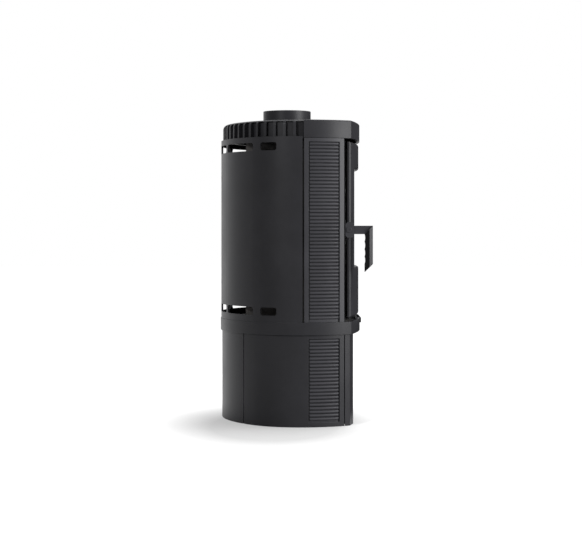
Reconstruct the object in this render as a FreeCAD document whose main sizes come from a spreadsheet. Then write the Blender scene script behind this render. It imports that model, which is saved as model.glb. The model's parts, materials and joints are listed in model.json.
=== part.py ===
import FreeCAD, Part
import math
import os
import re

import Sketcher

# Cast iron wood stove on an oval plinth with a log niche.
# Millimetres. Origin on the floor at the oval's widest line, front towards -Y, +Z up.

Vector = FreeCAD.Vector
UP = Vector(0, 0, 1)

SIZES = (
    ("half_width", 345, "half width of the plinth"),
    ("rear_reach", 257, "plinth reach behind the widest line"),
    ("rear_side_radius", 200, "plan radius of the rear shoulders"),
    ("front_side_radius", 277, "plan radius of the front flanks"),
    ("corner_depth", 164, "front corners ahead of the widest line"),
    ("front_reach", 201, "front bulge ahead of the widest line"),
    ("plinth_height", 292, "floor to belt"),
    ("belt_height", 40.5, "height of the belt ring"),
    ("body_height", 587.5, "belt to top plate"),
    ("rim_height", 57, "height of the top plate"),
    ("collar_height", 48, "flue collar above the top plate"),
    ("plinth_wall", 8, "wall of the plinth castings"),
    ("plinth_seam", 2.4, "seam between plinth castings"),
    ("plinth_rear_seam", 178, "rear seam behind the widest line"),
    ("plinth_front_seam", 146, "front seam ahead of the widest line"),
    ("pillar_width", 51, "pillar beside the log niche, from the front corner"),
    ("pillar_return", 40, "depth of the pillar behind its front face"),
    ("belt_proud", 5, "belt ring outside the plinth outline"),
    ("belt_wall", 17, "thickness of the belt ring"),
    ("ledge_width", 18, "ledge inside the belt ring"),
    ("ledge_thick", 12, "thickness of that ledge"),
    ("hearth_thick", 12, "hearth plate"),
    ("plate_gap", 0.4, "gap round a plate inside a ring"),
    ("casing_proud", 3, "casing outside the plinth outline"),
    ("casing_wall", 6, "wall of the back casing"),
    ("casing_lap", 4, "casing edge above the foot of the top plate"),
    ("casing_front", 11.5, "casing front edge ahead of the widest line"),
    ("panel_rear", 16.5, "side panel rear edge ahead of the widest line"),
    ("panel_front", 145, "side panel front edge ahead of the widest line"),
    ("panel_wall", 8, "wall of the ribbed side panels"),
    ("panel_gap", 1, "gap above the side panels"),
    ("rib_rear", 31, "rear end of the rib field ahead of the widest line"),
    ("rib_front", 130, "front end of the rib field"),
    ("rib_pitch", 11.3, "rib spacing"),
    ("rib_valley", 0.4, "flat valley between ribs"),
    ("rib_depth", 4.6, "depth of the rib field"),
    ("rib_crest", 0.8, "rib crest below the panel face"),
    ("rib_border", 3, "groove at the ends of the ribs"),
    ("panel_head", 12, "plain strip above the upper rib field"),
    ("plinth_head", 12, "plain strip above the plinth rib field"),
    ("plinth_foot", 15, "plain strip below the plinth rib field"),
    ("slot_height", 26, "height of the casing slots"),
    ("slot_corner", 8, "corner radius of the casing slots"),
    ("slot_top_gap", 14, "upper slots below the top plate's foot"),
    ("slot_foot_gap", 21, "lower slots above the belt"),
    ("slot_near_start", 73, "first slot behind the widest line, along the casing"),
    ("slot_near_length", 60, "length of the first slot"),
    ("slot_far_start", 165, "second slot behind the widest line, along the casing"),
    ("slot_far_length", 162, "length of the second slot"),
    ("slot_bar", 16, "bar beside the rear slots"),
    ("rim_proud", 4, "plain rim outside the plinth outline"),
    ("rim_wall", 10, "wall of the plain rim"),
    ("rim_round", 4, "round of the plain rim's top edge"),
    ("comb_start", 16, "rear end of the plain rim ahead of the widest line"),
    ("comb_band", 30, "radial depth of the comb casting"),
    ("comb_round", 15, "shoulder of the comb fins"),
    ("comb_pitch", 34, "fin spacing"),
    ("comb_slot", 25, "width of the gap between two fins"),
    ("comb_depth", 13, "depth between fins"),
    ("comb_lip", 4.5, "lip above the fins"),
    ("roof_thick", 10, "top plate"),
    ("flue_back", 38.5, "flue axis behind the widest line"),
    ("flue_bore", 151, "inside diameter of the collar"),
    ("flue_wall", 4.5, "wall of the collar"),
    ("flange_width", 20, "width of the collar flange"),
    ("flange_thick", 8, "thickness of the collar flange"),
    ("outlet_step", 3, "shoulder that stops the flue pipe"),
    ("base_thick", 8, "base plate"),
    ("firebox_step", 34, "firebox in from the front frame's edge"),
    ("firebox_rear", 171, "firebox reach behind the widest line"),
    ("firebox_wall", 8, "firebox castings"),
    ("firebox_drop", 7, "firebox top below the foot of the top plate"),
    ("frame_rear", 140, "rear face of the front frame ahead of the widest line"),
    ("frame_thick", 10, "front frame"),
    ("frame_cover", 23, "door beyond the front frame"),
    ("jamb_width", 57, "front frame beside the fire mouth"),
    ("mouth_sill", 52.5, "fire mouth above the hearth"),
    ("mouth_head", 33, "front frame above the fire mouth"),
    ("air_notch", 8.5, "height of the air way under the front frame"),
    ("floor_height", 107.5, "fire floor above the hearth"),
    ("floor_thick", 12, "fire floor"),
    ("bearer", 15, "section of the bearers under the fire floor"),
    ("grate_margin", 42, "hole under the grate in from the ash pan's sides"),
    ("grate_front", 78, "that hole ahead of the widest line"),
    ("grate_back", 88, "that hole behind the widest line"),
    ("grate_lap", 10, "grate seated on the fire floor"),
    ("grate_seat", 6, "depth of the grate's seat"),
    ("grate_thick", 12, "grate"),
    ("grate_slot", 10, "slots of the grate"),
    ("grate_pitch", 22, "spacing of those slots"),
    ("grate_edge", 26, "outermost slots in from that hole's sides"),
    ("brick_thick", 25, "fire bricks"),
    ("brick_height", 318, "fire bricks above the fire floor"),
    ("brick_front", 110, "side bricks ahead of the widest line"),
    ("brick_joint", 1, "joint between bricks"),
    ("baffle_thick", 25, "baffle"),
    ("baffle_front", 60, "baffle ahead of the widest line"),
    ("guard_gap", 5, "log guard short of the side bricks"),
    ("guard_height", 60, "log guard"),
    ("guard_thick", 6, "log guard"),
    ("guard_front", 128, "log guard ahead of the widest line"),
    ("pan_gap", 55, "ash pan short of the bearers"),
    ("pan_half_depth", 118, "half depth of the ash pan"),
    ("pan_height", 62, "ash pan"),
    ("pan_wall", 2, "sheet of the ash pan"),
    ("stud_radius", 8, "studs that carry the top plate"),
    ("stud_inset", 40, "studs in from the firebox corners"),
    ("bolt_radius", 4, "bolts"),
    ("bolt_fit", 0.2, "bolt clearance"),
    ("bolt_head", 7, "height of a bolt head"),
    ("bolt_head_radius", 7.5, "corner radius of a hexagon head"),
    ("hearth_bolt_count", 6, "bolts of the hearth plate"),
    ("collar_bolt_count", 4, "bolts of the collar"),
    ("standoff_radius", 9, "casing stand-offs"),
    ("standoff_x", 50, "casing stand-offs from the middle"),
    ("standoff_foot", 120, "lower stand-offs above the hearth"),
    ("standoff_head", 120, "upper stand-offs below the top plate"),
    ("standoff_gap", 0.3, "stand-off short of the curved casing"),
    ("screw_radius", 3, "casing screws"),
    ("screw_head_radius", 6.5, "heads of the casing screws"),
    ("screw_head", 2, "height of those heads"),
    ("door_margin", 60, "door edge in from the half width"),
    ("door_rear", 156, "rear face of the door ahead of the widest line"),
    ("door_proud", 0.5, "door front outside the plinth outline"),
    ("door_wall", 10, "wall of the door's rails"),
    ("door_foot_gap", 13.5, "door above the belt"),
    ("door_head_gap", 10, "door below the top plate"),
    ("door_round", 8, "round of the rails' edges"),
    ("door_chamfer", 4.5, "chamfer of the door's upright edges"),
    ("stile_width", 65, "door beside the window"),
    ("window_sill", 160, "lower rail of the door"),
    ("window_head", 85, "upper rail of the door"),
    ("glass_lap", 14, "glass behind the window's edge"),
    ("glass_fit", 0.6, "gap round the glass"),
    ("glass_thick", 4, "ceramic glass"),
    ("gasket_thick", 2, "gasket in front of the glass"),
    ("gasket_width", 10, "gasket"),
    ("glass_depth", 9, "depth of the glass seat from the door's rear"),
    ("clip_width", 30, "glass clips"),
    ("clip_reach", 10, "clip over the glass and over the frame"),
    ("clip_thick", 2, "glass clips"),
    ("clip_screw_radius", 4, "heads of the clip screws"),
    ("clip_screw_head", 2, "height of those heads"),
    ("seal_width", 10, "door rope"),
    ("seal_inset", 30, "door rope in from the door's edge"),
    ("seal_gap", 0.3, "door rope short of the front frame"),
    ("hinge_inset", 11, "hinge axis in from the door's edge"),
    ("hinge_front", 147, "hinge axis ahead of the widest line"),
    ("knuckle_radius", 8, "hinge knuckles"),
    ("hinge_pin_radius", 4, "hinge pins"),
    ("pin_fit", 0.02, "hinge pin in its bracket"),
    ("lug_fit", 0.08, "hinge pin in the door's lug"),
    ("bracket_height", 12, "hinge brackets"),
    ("lug_height", 28, "door lugs"),
    ("lug_gap", 0.3, "lug above its bracket"),
    ("hinge_low", 70, "lower hinge above the belt"),
    ("hinge_high", 100, "upper hinge below the top plate"),
    ("handle_height", 294, "handle axis above the belt"),
    ("handle_front", 161, "handle axis ahead of the widest line"),
    ("cheek_rear", 13, "handle bracket behind its axis"),
    ("cheek_front", 16, "handle bracket ahead of its axis"),
    ("cheek_half_height", 25, "half height of the handle bracket"),
    ("cheek_chamfer", 7, "corners of the handle bracket"),
    ("cheek_inner", 3.5, "inner cheek of the handle bracket"),
    ("cheek_outer", 4.5, "outer cheek of the handle bracket"),
    ("cheek_bridge", 5, "bridge between the cheeks"),
    ("arm_thick", 7.4, "handle arm"),
    ("arm_fit", 0.3, "arm between the cheeks"),
    ("arm_height", 27, "handle arm"),
    ("pivot_radius", 5, "handle pivot"),
    ("pivot_fit", 0.06, "handle on its pivot"),
    ("pivot_head_radius", 9, "head of the pivot screw"),
    ("pivot_head", 3, "height of that head"),
    ("grip_front", 237, "front of the grip ahead of the widest line"),
    ("grip_depth", 26.5, "depth of the grip"),
    ("grip_face", 11, "front slopes of the grip"),
    ("grip_nose", 5, "half width of the grip's front"),
    ("grip_half_width", 12, "half width of the grip's ridge"),
    ("grip_edge", 4, "half width of the grip's rear edge"),
    ("grip_drop", 135.5, "tip of the grip below the handle axis"),
    ("grip_wave", 24, "spacing of the finger hollows"),
    ("grip_wave_depth", 2, "depth of the finger hollows"),
    ("grip_wave_count", 4, "number of finger hollows"),
    ("finger_reach", 22, "latch finger behind the handle axis"),
    ("finger_height", 13, "latch finger"),
    ("keeper_gap", 0.4, "latch finger below its keeper"),
    ("keeper_height", 12, "latch keeper"),
    ("keeper_depth", 6, "latch keeper"),
    ("slide_half_width", 75, "half width of the air slide"),
    ("slide_inset", 17, "air slide behind the belt's front"),
    ("slide_depth", 18, "air slide"),
    ("slide_thick", 4, "air slide"),
    ("slide_gap", 0.3, "air slide over the hearth and in its guides"),
    ("slide_travel", 25, "air slide each way"),
    ("air_hole_half_width", 15, "half width of an air hole"),
    ("air_hole_depth", 10, "air hole"),
    ("air_hole_pitch", 48, "spacing of the air holes"),
    ("guide_width", 4, "air guides"),
    ("guide_lip", 2, "lip of the air guides"),
    ("guide_lap", 3, "lip over the slide"),
    ("guide_half_length", 112, "half length of the air guides"),
    ("knob_half_width", 14, "half width of the air knob"),
    ("knob_crest", 4, "flat top of the air knob behind the belt's front"),
    ("knob_height", 7.7, "top of the air knob above the slide's underside"),
    ("knob_drop", 18.8, "lip of the air knob below the slide's underside"),
    ("knob_gap", 0.6, "lip of the air knob in front of the belt"),
    ("knob_lip", 4.4, "thickness of that lip"),
    ("knob_face", 16, "upright face of that lip"),
    ("knob_round", 2, "edges of the air knob"),
    ("stem_half_width", 6, "half width of the air stem"),
)

# Sizes that follow from others
FITS = (
    ("door_half_width", "=half_width - door_margin", "half width of the door"),
    ("window_half_width", "=door_half_width - stile_width", "half width of the window"),
    ("hinge_x", "=door_half_width - hinge_inset", "hinge axis from the middle"),
    ("frame_half_width", "=door_half_width - frame_cover", "half width of the front frame"),
    ("mouth_half_width", "=frame_half_width - jamb_width", "half width of the fire mouth"),
    ("firebox_half_width", "=frame_half_width - firebox_step", "half width of the firebox, outside"),
    ("guard_half_width", "=firebox_half_width - firebox_wall - brick_thick - guard_gap",
     "half width of the log guard"),
    ("pan_half_width", "=firebox_half_width - firebox_wall - bearer - pan_gap", "half width of the ash pan"),
    ("grate_half_width", "=pan_half_width - grate_margin", "half width of the hole under the grate"),
    ("slide_front", "=front_reach + belt_proud - slide_inset", "front of the air slide"),
    ("knob_rear", "=slide_front + guide_width + 2 * slide_gap", "rear of the air knob"),
    ("grate_count", "=floor(2 * (grate_half_width - grate_edge) / grate_pitch) + 1", "number of grate slots"),
)

doc = FreeCAD.newDocument("WoodStove")
sheet = doc.addObject("Spreadsheet::Sheet", "Sizes")
pieces = {}


def add_sizes(rows, first_row):
    """Writes rows of (alias, value, note) to the sheet."""
    for row, (alias, number, note) in enumerate(rows, first_row):
        sheet.set(f"A{row}", note)
        sheet.set(f"B{row}", str(number))
        sheet.setAlias(f"B{row}", alias)
    doc.recompute()


def bind(text):
    """Turns the size names of an expression into references to their cells."""
    return re.sub(r"[a-z][a-z_]+", lambda word: "Sizes." + word.group(), text)


def piece(node, shape_object):
    """Names a finished sub-part."""
    shape_object.Label = node
    pieces[node] = shape_object
    return shape_object


def block(name, x, y, z):
    """A rectangular bar between a low and a high expression on each axis."""
    box = doc.addObject("Part::Box", name)
    for side, axis, (low, high) in zip(("Length", "Width", "Height"), "xyz", (x, y, z)):
        box.setExpression(side, bind(f"({high}) - ({low})"))
        box.setExpression(f"Placement.Base.{axis}", bind(low))
    return box


def rod(name, radius, start, length, turn=None):
    """A round bar from a start point of three expressions, along +Z or turned to another axis."""
    bar = doc.addObject("Part::Cylinder", name)
    if turn:
        bar.Placement = FreeCAD.Placement(Vector(), turn)
    bar.setExpression("Radius", bind(radius))
    bar.setExpression("Height", bind(length))
    for axis, low in zip("xyz", start):
        bar.setExpression(f"Placement.Base.{axis}", bind(low))
    return bar


ALONG_X = FreeCAD.Rotation(Vector(0, 1, 0), 90)
ALONG_Y = FreeCAD.Rotation(Vector(1, 0, 0), -90)


def fuse(name, shapes):
    union = doc.addObject("Part::MultiFuse", name)
    union.Shapes = shapes
    return union


def cut(name, base, tools):
    difference = doc.addObject("Part::Cut", name)
    difference.Base = base
    difference.Tool = tools[0] if len(tools) == 1 else fuse(name + "_tools", tools)
    return difference


def group(name, shapes):
    """Several separate solids in one node."""
    compound = doc.addObject("Part::Compound", name)
    compound.Links = shapes
    return compound


def coded(name, shape):
    """A shape that is worked out here from the sheet, because its outline follows the oval."""
    feature = doc.addObject("Part::Feature", name)
    feature.Shape = shape
    return feature


def plane(body, role):
    return next(feature for feature in body.Origin.OriginFeatures if feature.Role == role)


def polygon(body, role, name, points):
    """A closed sketch on an origin plane, every corner placed by two expressions."""
    sketch = body.newObject("Sketcher::SketchObject", name)
    sketch.AttachmentSupport = [(plane(body, role), "")]
    sketch.MapMode = "FlatFace"
    count = len(points)
    corners = [Vector(math.cos(2 * math.pi * i / count), math.sin(2 * math.pi * i / count), 0)
               for i in range(count)]
    for i in range(count):
        sketch.addGeometry(Part.LineSegment(corners[i], corners[(i + 1) % count]), False)
    for i in range(count):
        sketch.addConstraint(Sketcher.Constraint("Coincident", i, 2, (i + 1) % count, 1))
    for i, (across, along) in enumerate(points):
        for kind, text, start in (("DistanceX", across, corners[i].x), ("DistanceY", along, corners[i].y)):
            index = sketch.addConstraint(Sketcher.Constraint(kind, -1, 1, i, 1, start))
            sketch.setExpression(f"Constraints[{index}]", bind(text))
    return sketch


def pad(body, sketch, length, reverse=False):
    feature = body.newObject("PartDesign::Pad", sketch.Name + "_pad")
    feature.Profile = sketch
    feature.Reversed = reverse
    feature.setExpression("Length", bind(length))
    return feature


def turned(name, points):
    """A body of revolution about its own Z axis, from (radius, height) corners."""
    body = doc.addObject("PartDesign::Body", name)
    sketch = polygon(body, "XZ_Plane", name + "_profile", points)
    feature = body.newObject("PartDesign::Revolution", name + "_turn")
    feature.Profile = sketch
    feature.ReferenceAxis = (sketch, ["V_Axis"])
    feature.Angle = 360
    return body


def place(body, x, y, z):
    for axis, low in zip("xyz", (x, y, z)):
        body.setExpression(f"Placement.Base.{axis}", bind(low))
    return body


def mirrored(shape):
    return shape.mirror(Vector(), Vector(1, 0, 0))


add_sizes(SIZES, 1)
add_sizes(FITS, len(SIZES) + 1)
size = sheet

# Levels as numbers for the oval pieces, and as expressions for the rest
DECK_Z = size.plinth_height + size.belt_height
RIM_Z = DECK_Z + size.body_height
TOP_Z = RIM_Z + size.rim_height
DECK = "(plinth_height + belt_height)"
RIM = f"({DECK} + body_height)"
TOP = f"({RIM} + rim_height)"
WIDE = 2 * size.half_width


def polar(radius, angle):
    return Vector(radius * math.cos(angle), radius * math.sin(angle), 0)


def flip(point):
    return Vector(-point.x, point.y, point.z)


class Oval:
    """The plan outline grown outwards by an offset: six arcs, symmetric about the Y axis."""

    def __init__(self, offset):
        half = size.half_width
        rear = size.rear_reach
        round_off = size.rear_side_radius
        rear_radius = (half ** 2 + rear ** 2 - 2 * half * round_off) / (2 * (rear - round_off))
        self.shoulder = Vector(half - round_off, 0, 0)
        self.shoulder_radius = round_off + offset
        self.rear = Vector(0, rear - rear_radius, 0)
        self.rear_radius = rear_radius + offset
        self.turn = math.atan2(-self.rear.y, self.shoulder.x)
        self.flank = Vector(half - size.front_side_radius, 0, 0)
        self.flank_radius = size.front_side_radius + offset
        self.corner_x = self.flank.x + math.sqrt(size.front_side_radius ** 2 - size.corner_depth ** 2)
        sagitta = size.front_reach - size.corner_depth
        front_radius = (self.corner_x ** 2 + sagitta ** 2) / (2 * sagitta)
        self.front = Vector(0, front_radius - size.front_reach, 0)
        self.front_radius = front_radius + offset
        self.corner_angle = self.find_corner()

    def find_corner(self):
        """The angle at the flank's centre where the flank and the front arc cross."""
        apart = self.front - self.flank
        along = (self.flank_radius ** 2 - self.front_radius ** 2 + apart.Length ** 2) / (2 * apart.Length)
        toward = math.atan2(apart.y, apart.x)
        return toward - math.acos(along / self.flank_radius)

    def front_y(self, x):
        """The front arc's place at a distance from the middle."""
        return self.front.y - math.sqrt(self.front_radius ** 2 - x ** 2)

    def face(self):
        widest = self.shoulder + polar(self.shoulder_radius, 0)
        shoulder_middle = self.shoulder + polar(self.shoulder_radius, self.turn / 2)
        tangent = self.rear + polar(self.rear_radius, self.turn)
        rear_middle = self.rear + polar(self.rear_radius, math.pi / 2)
        flank_middle = self.flank + polar(self.flank_radius, self.corner_angle / 2)
        corner = self.flank + polar(self.flank_radius, self.corner_angle)
        front_middle = Vector(0, self.front_y(0), 0)
        arcs = (
            (widest, shoulder_middle, tangent),
            (tangent, rear_middle, flip(tangent)),
            (flip(tangent), flip(shoulder_middle), flip(widest)),
            (flip(widest), flip(flank_middle), flip(corner)),
            (flip(corner), front_middle, corner),
            (corner, flank_middle, widest),
        )
        return Part.Face(Part.Wire([Part.Arc(*points).toShape() for points in arcs]))


def rectangle(x, y):
    return Part.makePlane(x[1] - x[0], y[1] - y[0], Vector(x[0], y[0], 0))


def upright(face, z):
    """Raises a plan face into a prism between two levels."""
    base = face.copy()
    base.translate(Vector(0, 0, z[0]))
    return base.extrude(Vector(0, 0, z[1] - z[0]))


def prism(faces, z):
    solids = [upright(face, z) for face in faces.Faces]
    return solids[0] if len(solids) == 1 else Part.makeCompound(solids)


def plate(offset, z):
    return prism(Oval(offset).face(), z)


def wall(outer, inner, x, y, z):
    """A stretch of shell between two offsets of the oval, inside a box."""
    ring = Oval(outer).face().cut(Oval(inner).face())
    return prism(ring.common(rectangle(x, y)), z)


def swept(profile, centre, start, end):
    """Turns a profile, drawn at Y = 0, about an upright axis from one angle to another."""
    face = Part.Face(profile)
    face.rotate(centre, UP, math.degrees(start))
    return face.revolve(centre, UP, math.degrees(end - start))


def box_profile(centre, inner, outer, z):
    corners = [Vector(centre.x + radius, centre.y, level)
               for radius, level in ((inner, z[0]), (outer, z[0]), (outer, z[1]), (inner, z[1]))]
    return Part.makePolygon(corners + corners[:1])


def rib_profile(centre, face_radius, z):
    """The space in front of a field of half-round ribs, as a closed wire."""
    valley = face_radius - size.rib_depth
    crest = face_radius - size.rib_crest
    outside = face_radius + size.rib_depth
    rib = size.rib_pitch - size.rib_valley
    count = int((z[1] - z[0] - size.rib_valley) / size.rib_pitch)
    level = z[1] - size.rib_valley - count * size.rib_pitch
    edges = []

    def corner(radius, height):
        return Vector(centre.x + radius, centre.y, height)

    def line(start, end):
        if start.distanceToPoint(end) > 1e-6:
            edges.append(Part.LineSegment(start, end).toShape())

    line(corner(valley, z[0]), corner(valley, level))
    for _ in range(count):
        foot = corner(valley, level + size.rib_valley)
        head = corner(valley, level + size.rib_pitch)
        middle = corner(crest, level + size.rib_valley + rib / 2)
        line(corner(valley, level), foot)
        edges.append(Part.Arc(foot, middle, head).toShape())
        level += size.rib_pitch
    line(corner(valley, level), corner(valley, z[1]))
    line(corner(valley, z[1]), corner(outside, z[1]))
    line(corner(outside, z[1]), corner(outside, z[0]))
    line(corner(outside, z[0]), corner(valley, z[0]))
    return Part.Wire(edges)


def ribbed(panel, offset, z):
    """Cuts a rib field with a groove at each end into a right-hand panel."""
    oval = Oval(offset)
    radius = oval.flank_radius
    rear = -math.asin(size.rib_rear / radius)
    front = -math.asin(size.rib_front / radius)
    groove = size.rib_border / radius
    border = box_profile(oval.flank, radius - size.rib_depth, radius + size.rib_depth, z)
    cutters = [
        swept(rib_profile(oval.flank, radius, z), oval.flank, front + groove, rear - groove),
        swept(border, oval.flank, front, front + groove),
        swept(border, oval.flank, rear - groove, rear),
    ]
    for cutter in cutters:
        panel = panel.cut(cutter)
    return panel


def pair(left, right, shape):
    """A right-hand piece and its mirror image as two nodes."""
    piece(right, coded(right, shape))
    piece(left, coded(left, mirrored(shape)))


def hexagon_bolt(start, shank_end):
    """A hexagon-head bolt whose head lies against start and whose shank runs to shank_end."""
    along = (shank_end - start).normalize()
    head = [polar(size.bolt_head_radius, math.pi / 3 * i) for i in range(6)]
    bolt = Part.Face(Part.makePolygon(head + head[:1])).extrude(Vector(0, 0, -size.bolt_head))
    bolt = bolt.fuse(Part.makeCylinder(size.bolt_radius, (shank_end - start).Length)).removeSplitter()
    bolt.Placement = FreeCAD.Placement(start, FreeCAD.Rotation(UP, along))
    return bolt


def build_plinth():
    """Oval plinth of five castings, open at the front as a log niche, with a base plate."""
    inner = -size.plinth_wall
    seam = size.plinth_seam / 2
    levels = (0, size.plinth_height)
    rear = wall(0, inner, (-WIDE, WIDE), (size.plinth_rear_seam + seam, WIDE), levels)
    piece("plinth_rear_panel", coded("plinth_rear_panel", rear))

    side_y = (seam - size.plinth_front_seam, size.plinth_rear_seam - seam)
    side = wall(0, inner, (0, WIDE), side_y, levels)
    side = ribbed(side, 0, (size.plinth_foot, size.plinth_height - size.plinth_head))
    pair("plinth_left_side", "plinth_right_side", side)

    mouth = Oval(0).corner_x - size.pillar_width
    pillar_y = (-WIDE, -size.plinth_front_seam - seam)
    pillar = wall(0, inner, (mouth, WIDE), pillar_y, levels)
    jamb_y = (-WIDE, Oval(0).front_y(mouth) + size.pillar_return)
    jamb = Oval(inner / 2).face().common(rectangle((mouth, mouth + size.plinth_wall), jamb_y))
    pillar = pillar.fuse(prism(jamb, levels)).removeSplitter()
    pair("plinth_left_pillar", "plinth_right_pillar", pillar.Solids[0])

    base = plate(inner - size.plate_gap, (0, size.base_thick))
    base = base.cut(Part.makeBox(WIDE, WIDE, WIDE, Vector(-WIDE / 2, jamb_y[1] - WIDE, -WIDE / 2)))
    screws = []
    for x in (-size.half_width / 2, size.half_width / 2):
        for y in (-size.corner_depth / 2, size.rear_reach / 2):
            screws.append(hexagon_bolt(Vector(x, y, size.base_thick), Vector(x, y, 0)))
            hole_radius = size.bolt_radius + size.bolt_fit
            base = base.cut(Part.makeCylinder(hole_radius, size.base_thick, Vector(x, y, 0)))
    piece("base_plate", coded("base_plate", base))
    piece("levelling_screws", coded("levelling_screws", Part.makeCompound(screws)))


def rear_station(offset, distance):
    """A point at the back of the oval and its outward direction, a signed way along from the middle."""
    oval = Oval(offset)
    straight_back = math.pi / 2
    rear_half = oval.rear_radius * (straight_back - oval.turn)
    centre = oval.rear
    radius = oval.rear_radius
    angle = straight_back - abs(distance) / radius
    if abs(distance) > rear_half:
        centre = oval.shoulder
        radius = oval.shoulder_radius
        angle = oval.turn - (abs(distance) - rear_half) / radius
    point = centre + polar(radius, angle)
    outward = polar(1, angle)
    return (point, outward) if distance >= 0 else (flip(point), flip(outward))


def rear_half_length(offset, ahead):
    """Half the way round the back of the oval, from the middle to a line ahead of the widest one."""
    oval = Oval(offset)
    rear_half = oval.rear_radius * (math.pi / 2 - oval.turn)
    return rear_half + oval.shoulder_radius * oval.turn + ahead


def build_belt():
    """Belt ring with an inner ledge, the hearth plate that lies on it, and its bolts."""
    inner = size.belt_proud - size.belt_wall
    ledge_top = DECK_Z - size.hearth_thick
    ledge_foot = ledge_top - size.ledge_thick
    ring = plate(size.belt_proud, (size.plinth_height, DECK_Z)).cut(plate(inner, (0, TOP_Z)))
    ledge = plate(inner, (ledge_foot, ledge_top)).cut(plate(inner - size.ledge_width, (0, TOP_Z)))
    ring = ring.fuse(ledge).removeSplitter().Solids[0]
    hearth = plate(inner - size.plate_gap, (ledge_top, DECK_Z))

    bolts = []
    spacing = 2 * rear_half_length(inner, 0) / size.hearth_bolt_count
    for i in range(int(size.hearth_bolt_count)):
        distance = (i + 0.5 - size.hearth_bolt_count / 2) * spacing
        point, _ = rear_station(inner - size.ledge_width / 2, distance)
        start = point + Vector(0, 0, ledge_foot)
        bolts.append(hexagon_bolt(start, point + Vector(0, 0, DECK_Z - size.bolt_fit)))
        hole = Part.makeCylinder(size.bolt_radius + size.bolt_fit, DECK_Z, point)
        ring = ring.cut(hole)
        hearth = hearth.cut(hole)

    for i in (-1, 0, 1):
        corner = Vector(i * size.air_hole_pitch - size.air_hole_half_width, -size.slide_front, 0)
        corner.y += (size.slide_depth - size.air_hole_depth) / 2
        air_hole = Part.makeBox(2 * size.air_hole_half_width, size.air_hole_depth, TOP_Z, corner)
        hearth = hearth.cut(air_hole)
        ring = ring.cut(air_hole)
    piece("belt_ring", coded("belt_ring", ring))
    piece("hearth_plate", coded("hearth_plate", hearth))
    piece("hearth_bolts", coded("hearth_bolts", Part.makeCompound(bolts)))


def build_side_panels():
    outer = size.casing_proud
    levels = (DECK_Z, RIM_Z - size.panel_gap)
    panel = wall(outer, outer - size.panel_wall, (0, WIDE), (-size.panel_front, -size.panel_rear), levels)
    panel = ribbed(panel, outer, (DECK_Z, levels[1] - size.panel_head))
    pair("left_side_panel", "right_side_panel", panel)


def slot_cutter(centre, radius, start, end, foot):
    """A slot with round corners through the casing, between two angles about an upright axis."""
    through = 2 * size.casing_wall
    profile = box_profile(centre, radius - through, radius + through, (foot, foot + size.slot_height))
    cutter = swept(profile, centre, start, end)
    radial = [edge for edge in cutter.Edges
              if edge.Curve.TypeId == "Part::GeomLine" and abs(edge.tangentAt(edge.FirstParameter).z) < 0.5]
    return cutter.makeFillet(size.slot_corner, radial)


def build_back_casing():
    """Bent casing round the back with two rows of convection slots, on stand-offs."""
    outer = size.casing_proud
    inner = outer - size.casing_wall
    shell = wall(outer, inner, (-WIDE, WIDE), (-size.casing_front, WIDE), (DECK_Z, RIM_Z + size.casing_lap))
    oval = Oval(outer)
    shoulder_length = oval.shoulder_radius * oval.turn
    near = [size.slot_near_start / oval.shoulder_radius]
    near.append(near[0] + size.slot_near_length / oval.shoulder_radius)
    far = [oval.turn + (size.slot_far_start - shoulder_length) / oval.rear_radius]
    far.append(far[0] + size.slot_far_length / oval.rear_radius)
    bar = size.slot_bar / oval.rear_radius
    middle = [far[1] + bar, math.pi / 2 - bar / 2]
    for foot in (DECK_Z + size.slot_foot_gap, RIM_Z - size.slot_top_gap - size.slot_height):
        cutters = [
            slot_cutter(oval.shoulder, oval.shoulder_radius, near[0], near[1], foot),
            slot_cutter(oval.rear, oval.rear_radius, far[0], far[1], foot),
            slot_cutter(oval.rear, oval.rear_radius, middle[0], middle[1], foot),
        ]
        for cutter in cutters:
            shell = shell.cut(cutter).cut(mirrored(cutter))

    standoffs = []
    screws = []
    rear_face = Oval(inner)
    reach = math.sqrt(rear_face.rear_radius ** 2 - (size.standoff_x + size.standoff_radius) ** 2)
    rear_end = rear_face.rear.y + reach - size.standoff_gap
    outer_edge = size.standoff_x + size.screw_head_radius
    sunk = oval.rear.y + math.sqrt(oval.rear_radius ** 2 - outer_edge ** 2) - size.screw_head
    back = Vector(0, 1, 0)
    for x in (-size.standoff_x, size.standoff_x):
        for z in (DECK_Z + size.standoff_foot, RIM_Z - size.standoff_head):
            start = Vector(x, size.firebox_rear, z)
            length = rear_end - size.firebox_rear
            post = Part.makeCylinder(size.standoff_radius, length, start, back)
            hole = Part.makeCylinder(size.screw_radius + size.bolt_fit, WIDE, start, back)
            standoffs.append(post.cut(hole))
            seat = Vector(x, sunk, z)
            pocket = Part.makeCylinder(size.screw_head_radius + size.bolt_fit, WIDE, seat, back)
            shell = shell.cut(hole).cut(pocket)
            shank = Part.makeCylinder(size.screw_radius, sunk - size.firebox_rear, start, back)
            head = Part.makeCylinder(size.screw_head_radius, size.screw_head, seat, back)
            rim = [edge for edge in head.Edges if edge.CenterOfMass.y > sunk + size.screw_head / 2
                   and edge.Curve.TypeId == "Part::GeomCircle"]
            screws.append(shank.fuse(head.makeFillet(size.screw_head * 0.6, rim)).removeSplitter())
    piece("back_casing", coded("back_casing", shell))
    piece("casing_standoffs", coded("casing_standoffs", Part.makeCompound(standoffs)))
    piece("casing_screws", coded("casing_screws", Part.makeCompound(screws)))


def round_top(solid, radius):
    """Rounds the outer top edge of a prism of the oval."""
    top = solid.BoundBox.ZMax
    arcs = [edge for edge in solid.Edges
            if abs(edge.BoundBox.ZMin - top) < 1e-6 and edge.Curve.TypeId == "Part::GeomCircle"]
    return solid.makeFillet(radius, arcs)


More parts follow.
